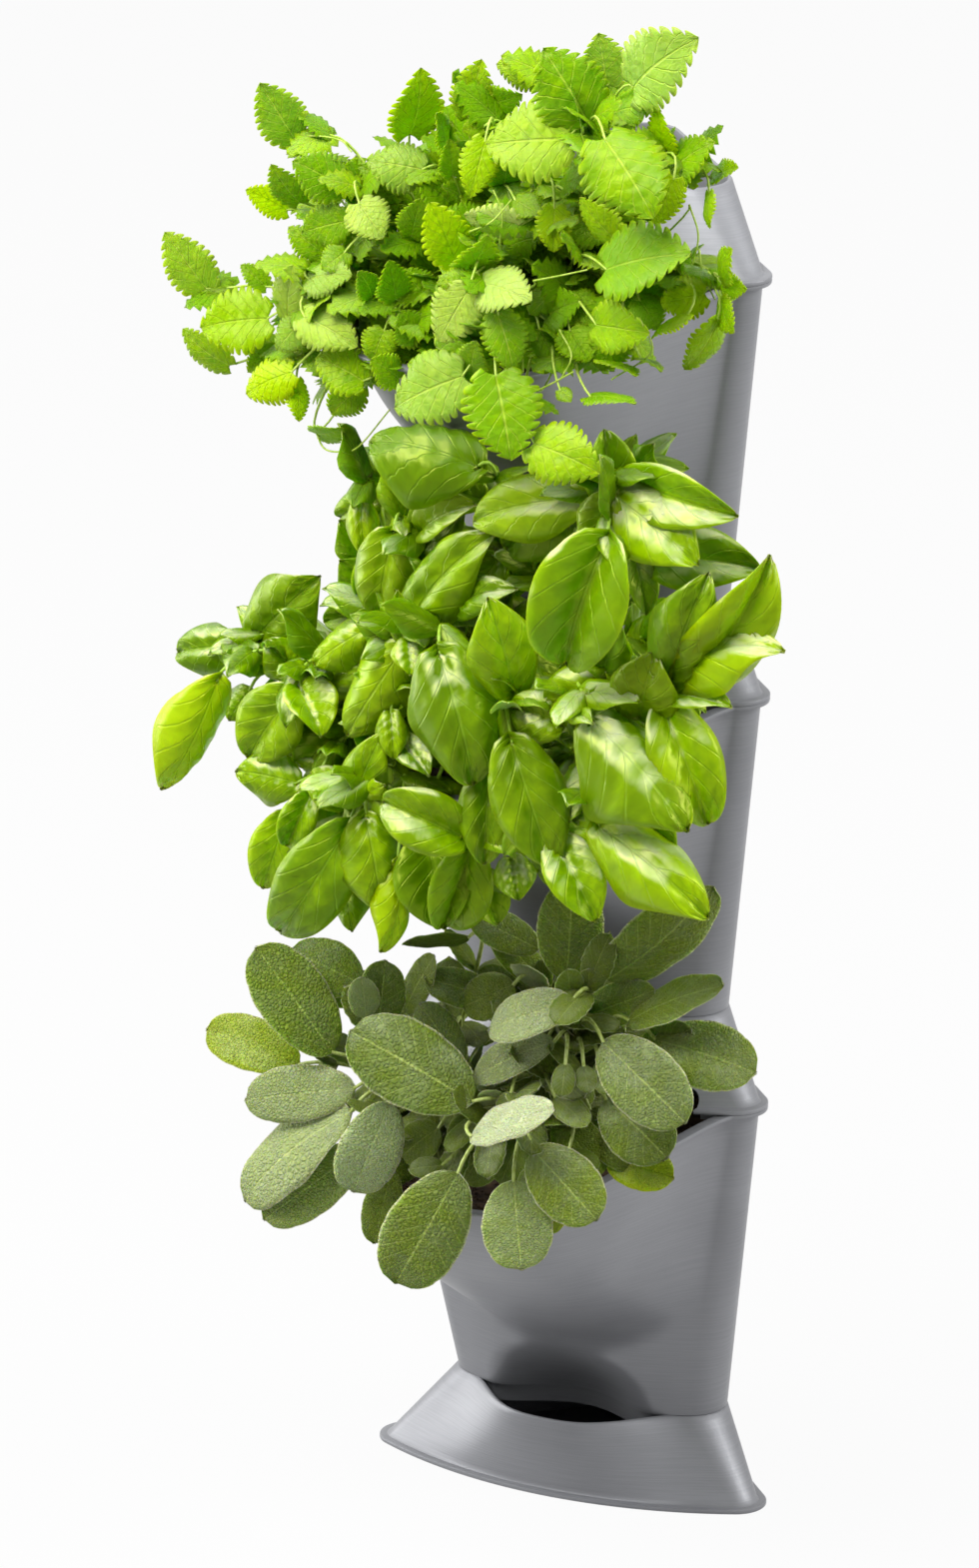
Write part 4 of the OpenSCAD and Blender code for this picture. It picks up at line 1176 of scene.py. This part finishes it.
basilLeaves = {
    "basil_left": [
        (233, 647, 175, 652, 46, 262, 0.5), (258, 636, 318, 578, 62, 255, 0.6),
        (296, 675, 266, 640, 38, 278, 0.5), (366, 630, 311, 666, 46, 300, 0.6),
        (380, 612, 322, 622, 30, 262, 0.2), (394, 534, 378, 620, 56, 300, 0.65),
        (382, 498, 336, 518, 30, 262, 0.3), (362, 500, 365, 555, 26, 285, 0.7),
        (217, 682, 162, 796, 44, 290, 0.8), (294, 693, 246, 760, 60, 300, 0.4),
        (301, 690, 322, 737, 44, 305, 0.5), (298, 784, 234, 770, 46, 305, 0.5),
        (354, 806, 381, 735, 40, 330, 0.5), (346, 802, 310, 773, 34, 312, 0.5),
        (362, 800, 382, 786, 24, 335, 0.6), (287, 815, 262, 892, 44, 300, 0.6),
        (348, 828, 276, 940, 56, 345, 0.5), (366, 818, 383, 914, 58, 345, 0.5),
        (397, 865, 386, 955, 28, 340, 0.7), (310, 797, 286, 848, 30, 318, 0.5),
        (346, 886, 352, 932, 28, 325, 0.1), (403, 650, 344, 739, 60, 320, 0.55),
        (256, 668, 230, 640, 30, 258, 0.3), (250, 690, 228, 722, 40, 262, 0.1),
        (330, 690, 372, 668, 34, 290, 0.3), (340, 735, 300, 770, 44, 285, 0.0),
        (366, 560, 340, 520, 36, 262, 0.2), (380, 600, 340, 560, 44, 265, 0.1),
        (330, 850, 300, 800, 44, 300, 0.1), (390, 860, 420, 905, 44, 320, 0.15),
        (360, 870, 340, 905, 38, 320, 0.15),
    ],
    "basil_centre": [
        (478, 470, 367, 440, 76, 270, 0.1), (413, 624, 489, 533, 56, 315, 0.5),
        (402, 640, 398, 592, 24, 325, 0.6), (408, 642, 411, 676, 30, 335, 0.6),
        (440, 655, 476, 786, 74, 345, 0.55), (462, 838, 381, 800, 50, 350, 0.6),
        (391, 713, 394, 760, 28, 325, 0.4), (400, 742, 430, 776, 30, 320, 0.4),
        (428, 842, 446, 930, 66, 325, 0.0), (514, 691, 490, 600, 58, 335, 0.45),
        (512, 743, 554, 871, 62, 352, 0.55), (490, 770, 484, 866, 46, 335, 0.4),
        (470, 850, 447, 930, 50, 330, 0.2), (512, 860, 520, 901, 36, 330, 0.3),
        (562, 726, 511, 706, 50, 335, 0.55), (610, 690, 545, 705, 50, 325, 0.6),
        (556, 790, 480, 800, 44, 300, 0.1), (430, 590, 470, 640, 40, 290, 0.1),
        (500, 560, 450, 620, 50, 280, 0.15), (455, 500, 420, 545, 46, 275, 0.3),
        (456, 608, 511, 588, 34, 315, 0.4), (424, 530, 472, 504, 38, 300, 0.65),
        (482, 500, 422, 482, 44, 285, 0.05), (396, 560, 360, 600, 44, 275, 0.1),
        (420, 560, 452, 520, 44, 280, 0.1), (380, 470, 372, 508, 36, 262, 0.15),
        (470, 880, 500, 925, 40, 318, 0.2), (420, 480, 400, 520, 34, 265, 0.35),
        (520, 640, 560, 690, 46, 290, 0.05),
    ],
    "basil_right": [
        (587, 499, 469, 519, 58, 320, 0.6), (582, 510, 502, 548, 56, 300, 0.2),
        (611, 497, 588, 548, 38, 335, 0.6), (616, 497, 699, 565, 62, 330, 0.55),
        (635, 482, 735, 517, 40, 315, 0.55), (610, 494, 605, 431, 42, 305, 0.5),
        (636, 474, 652, 446, 28, 290, 0.4), (607, 541, 562, 668, 78, 350, 0.6),
        (670, 679, 706, 578, 58, 330, 0.55), (690, 672, 772, 566, 48, 315, 0.7),
        (679, 680, 776, 642, 48, 320, 0.7), (659, 562, 758, 566, 52, 290, 0.4),
        (600, 690, 619, 626, 54, 315, 0.45), (545, 562, 590, 535, 42, 280, 0.1),
        (641, 716, 654, 655, 58, 335, 0.65), (636, 560, 648, 615, 26, 300, 0.15),
        (674, 693, 730, 706, 34, 325, 0.6), (594, 722, 690, 830, 86, 355, 0.6),
        (666, 713, 710, 826, 56, 335, 0.6), (557, 843, 597, 922, 48, 348, 0.5),
        (601, 828, 708, 915, 60, 352, 0.6), (560, 790, 612, 770, 44, 310, 0.1),
        (566, 832, 606, 828, 34, 335, 0.4), (606, 790, 676, 858, 50, 330, 0.3),
        (650, 640, 690, 600, 40, 285, 0.1), (590, 760, 640, 790, 50, 300, 0.05),
        (575, 715, 592, 722, 20, 352, 0.5), (560, 600, 600, 640, 56, 280, 0.05),
        (620, 650, 660, 700, 50, 290, 0.05), (540, 660, 570, 700, 50, 290, 0.05),
        (640, 520, 690, 500, 44, 280, 0.2), (600, 560, 560, 600, 50, 275, 0.05),
        (540, 870, 560, 820, 50, 300, 0.1), (620, 860, 640, 800, 50, 295, 0.1),
    ],
}
balmLeaves = {
    "lemon_balm_left": [
        (295, 140, 260, 83, 48, 262, 1.2), (308, 147, 287, 157, 14, 262, 0.4),
        (344, 188, 293, 160, 48, 275, 0.35), (300, 203, 271, 166, 30, 262, 0.45),
        (288, 211, 246, 189, 30, 258, 0.95), (347, 221, 300, 233, 42, 280, 0.5),
        (359, 203, 384, 239, 44, 295, 1.55), (424, 170, 366, 160, 50, 275, 1.35),
        (410, 135, 423, 71, 46, 262, 0.75), (396, 190, 359, 164, 32, 262, 0.4),
        (324, 254, 288, 227, 32, 268, 0.4), (207, 290, 165, 232, 46, 262, 1.25),
        (267, 288, 241, 264, 22, 262, 0.6), (269, 319, 199, 327, 64, 275, 0.75),
        (230, 366, 181, 330, 20, 262, 0.5), (276, 349, 247, 372, 30, 268, 0.4),
        (293, 372, 244, 394, 46, 290, 1.0), (296, 380, 300, 422, 24, 285, 0.8),
        (288, 319, 292, 266, 40, 282, 1.35), (304, 321, 276, 351, 34, 285, 1.3),
        (304, 317, 357, 345, 46, 300, 1.4), (306, 319, 329, 296, 26, 290, 0.4),
        (308, 280, 351, 274, 38, 290, 1.4), (365, 382, 316, 356, 46, 300, 0.45),
        (361, 386, 330, 415, 36, 295, 0.4), (316, 434, 343, 430, 10, 285, 0.6),
        (372, 296, 360, 272, 26, 295, 0.5), (396, 300, 390, 262, 36, 300, 0.15),
        (340, 300, 352, 326, 34, 280, 0.1), (346, 252, 322, 270, 30, 285, 0.4),
    ],
    "lemon_balm_centre": [
        (471, 119, 481, 61, 44, 268, 0.6), (485, 104, 521, 96, 26, 265, 0.2),
        (544, 78, 496, 63, 34, 258, 1.2), (447, 145, 438, 113, 22, 275, 0.6),
        (569, 139, 485, 144, 78, 320, 1.25), (484, 128, 462, 130, 22, 285, 0.7),
        (486, 140, 470, 198, 36, 305, 0.75), (457, 262, 431, 203, 46, 325, 0.85),
        (520, 227, 463, 216, 26, 315, 1.95), (469, 290, 438, 343, 50, 345, 1.5),
        (470, 280, 437, 282, 26, 338, 0.55), (483, 284, 530, 299, 50, 338, 1.6),
        (467, 273, 489, 238, 24, 325, 0.4), (464, 376, 392, 408, 66, 352, 1.35),
        (463, 374, 407, 362, 36, 345, 0.5), (472, 372, 476, 342, 28, 345, 0.5),
        (498, 314, 515, 371, 42, 342, 0.45), (496, 375, 512, 461, 72, 356, 0.6),
        (453, 176, 450, 140, 26, 280, 0.2), (412, 236, 420, 200, 34, 285, 0.2),
        (430, 300, 400, 270, 40, 290, 0.1), (505, 250, 540, 235, 44, 285, 0.05),
        (515, 200, 540, 215, 32, 305, 0.6), (420, 340, 400, 312, 38, 300, 0.2),
        (555, 207, 554, 253, 34, 310, 0.7), (545, 320, 580, 300, 44, 300, 0.05),
        (540, 330, 560, 372, 34, 310, 0.1), (440, 350, 470, 330, 34, 315, 0.15),
        (385, 330, 372, 362, 34, 300, 0.3), (400, 380, 372, 360, 34, 300, 0.3),
        (456, 208, 420, 178, 46, 268, 0.1), (556, 244, 516, 264, 52, 278, 0.05),
        (484, 232, 440, 214, 46, 275, 0.1), (400, 330, 440, 312, 44, 290, 0.05),
        (470, 320, 430, 306, 44, 295, 0.1), (540, 300, 500, 330, 48, 290, 0.05),
    ],
    "lemon_balm_right": [
        (588, 121, 544, 48, 70, 312, 0.55), (608, 86, 599, 33, 48, 268, 1.3),
        (634, 88, 694, 38, 70, 285, 1.45), (614, 113, 656, 104, 42, 275, 0.45),
        (667, 156, 657, 105, 24, 282, 1.0), (605, 139, 655, 217, 78, 335, 0.55),
        (667, 176, 713, 141, 44, 285, 0.65), (712, 180, 738, 166, 20, 268, 0.8),
        (675, 178, 655, 227, 32, 300, 0.8), (710, 192, 709, 229, 13, 285, 0.7),
        (617, 241, 579, 198, 26, 318, 0.7), (606, 270, 690, 252, 74, 330, 0.3),
        (596, 325, 648, 333, 44, 325, 0.4), (690, 314, 650, 337, 18, 310, 0.85),
        (719, 320, 686, 372, 25, 300, 0.7), (706, 294, 660, 304, 40, 295, 0.8),
        (722, 279, 730, 249, 18, 290, 0.7), (722, 284, 746, 290, 20, 288, 0.7),
        (722, 299, 733, 334, 13, 290, 0.7), (604, 362, 638, 374, 22, 312, 0.7),
        (641, 359, 663, 370, 18, 310, 0.5), (590, 397, 637, 402, 26, 330, 0.3),
        (560, 390, 572, 402, 16, 335, 0.6), (534, 444, 600, 472, 58, 358, 0.55),
        (604, 126, 612, 118, 16, 300, 0.6), (563, 190, 590, 172, 28, 300, 0.2),
        (628, 250, 640, 235, 30, 300, 0.5), (570, 330, 590, 362, 40, 312, 0.1),
        (640, 300, 660, 330, 38, 300, 0.1), (620, 330, 600, 372, 40, 308, 0.1),
        (566, 300, 598, 322, 40, 300, 0.1), (650, 282, 674, 302, 42, 280, 0.1),
        (602, 232, 560, 216, 44, 275, 0.1), (640, 176, 622, 216, 44, 280, 0.1),
        (600, 180, 640, 160, 40, 275, 0.2),
    ],
}

# Bare stalks and tendrils of the lemon balm, place by place: across and down in pixels, and the depth
balmStrands = {
    "lemon_balm_left": [
        [(316, 432, 285), (325, 449, 288), (343, 452, 290), (360, 446, 290), (390, 410, 288)],
        [(290, 140, 262), (312, 136, 262), (340, 140, 262), (352, 152, 264)],
    ],
    "lemon_balm_centre": [
        [(500, 244, 322), (503, 214, 322), (494, 190, 320)],
        [(470, 232, 326), (492, 222, 326), (512, 200, 322)],
        [(534, 281, 335), (560, 276, 336), (588, 270, 334)],
        [(497, 312, 336), (520, 330, 336), (524, 372, 338)],
    ],
    "lemon_balm_right": [
        [(690, 205, 285), (699, 236, 286), (692, 270, 288)],
        [(560, 330, 322), (572, 356, 328), (561, 380, 330)],
        [(538, 391, 334), (552, 384, 334), (574, 372, 332)],
        [(640, 318, 320), (652, 352, 318), (612, 380, 318)],
        [(700, 250, 290), (704, 276, 290), (716, 300, 288)],
    ],
}

# Where each plant's crown stands across the stack, in millimetres
crowns = {
    "sage_left": -35, "sage_right": 45, "basil_left": -50, "basil_centre": 0, "basil_right": 50,
    "lemon_balm_left": -50, "lemon_balm_centre": 0, "lemon_balm_right": 50,
}
for look, plants in zip(looks, (sageLeaves, basilLeaves, balmLeaves)):
    for number, (plant, leafRows) in enumerate(plants.items()):
        makePlant(plant, look, leafRows, np.random.default_rng(look["seed"] + number))
    print(look["herb"], "made")


# Floor, light and camera

studio = {
    "worldStrength": 0.19, "aim": (0, -0.15, 0.45),
    "topPower": 136.0, "topSize": 2.0, "topPlace": (-0.6, -1.5, 2.9),
    "leftPower": 66.0, "leftSize": 2.3, "leftPlace": (-2.6, -0.4, 0.8),
    "rightPower": 66.0, "rightSize": 1.3, "rightPlace": (2.4, 0.5, 1.9),
    "floorSize": 14.0, "floorDrop": 0.4, "floorColour": (0.41, 0.41, 0.41, 1), "floorShare": 0.95,
    "white": {"Color": (1, 1, 1, 1), "Strength": 1.0},
}


# A grey floor that takes the object's shadow and that the camera sees almost white
def floorWhite():
    shader = Shader("floorWhite", Base_Color=studio["floorColour"], Roughness=0.9, Specular_IOR_Level=0.1)
    glow = shader.add("ShaderNodeEmission", None, studio["white"])
    lit = Wire(shader, shader.surface.outputs[0])
    seen = studio["floorShare"] * shader.seenRays()
    both = shader.add("ShaderNodeMixShader", None, {0: seen, 1: lit, 2: glow})
    shader.feed(shader.tree.nodes["Material Output"].inputs[0], both)
    return shader.material


def makeFloor():
    materials["floorWhite"] = floorWhite()
    half, z = studio["floorSize"] * 1000 / 2, -studio["floorDrop"]
    corners = [(-half, -half, z), (half, -half, z), (half, half, z), (-half, half, z)]
    floor = addPiece("floor", corners, [[0, 1, 2, 3]], "floorWhite")


def makeWorld():
    world = bpy.data.worlds.new("studio")
    world.use_nodes = True
    bpy.context.scene.world = world
    nodes = Nodes(world.node_tree)
    lamp = nodes.tree.nodes["Background"]
    nodes.feed(lamp.inputs["Color"], studio["white"]["Color"])
    nodes.feed(lamp.inputs["Strength"], studio["worldStrength"])
    white = nodes.add("ShaderNodeBackground", None, studio["white"])
    sockets = {0: nodes.seenRays(), 1: Wire(nodes, lamp.outputs[0]), 2: white}
    both = nodes.add("ShaderNodeMixShader", None, sockets)
    nodes.feed(nodes.tree.nodes["World Output"].inputs[0], both)


def addLamp(name, place, power, size):
    data = bpy.data.lights.new(name, "AREA")
    data.energy, data.size = power, size
    lamp = bpy.data.objects.new(name, data)
    bpy.context.scene.collection.objects.link(lamp)
    lamp.location = place
    lamp.rotation_euler = (Vector(place) - Vector(studio["aim"])).to_track_quat("Z", "Y").to_euler()


makeFloor()
makeWorld()
for name in ("top", "left", "right"):
    addLamp(name + "Light", studio[name + "Place"], studio[name + "Power"], studio[name + "Size"])
makeCamera()
bpy.context.scene.view_settings.view_transform = "Standard"
print("studio made")
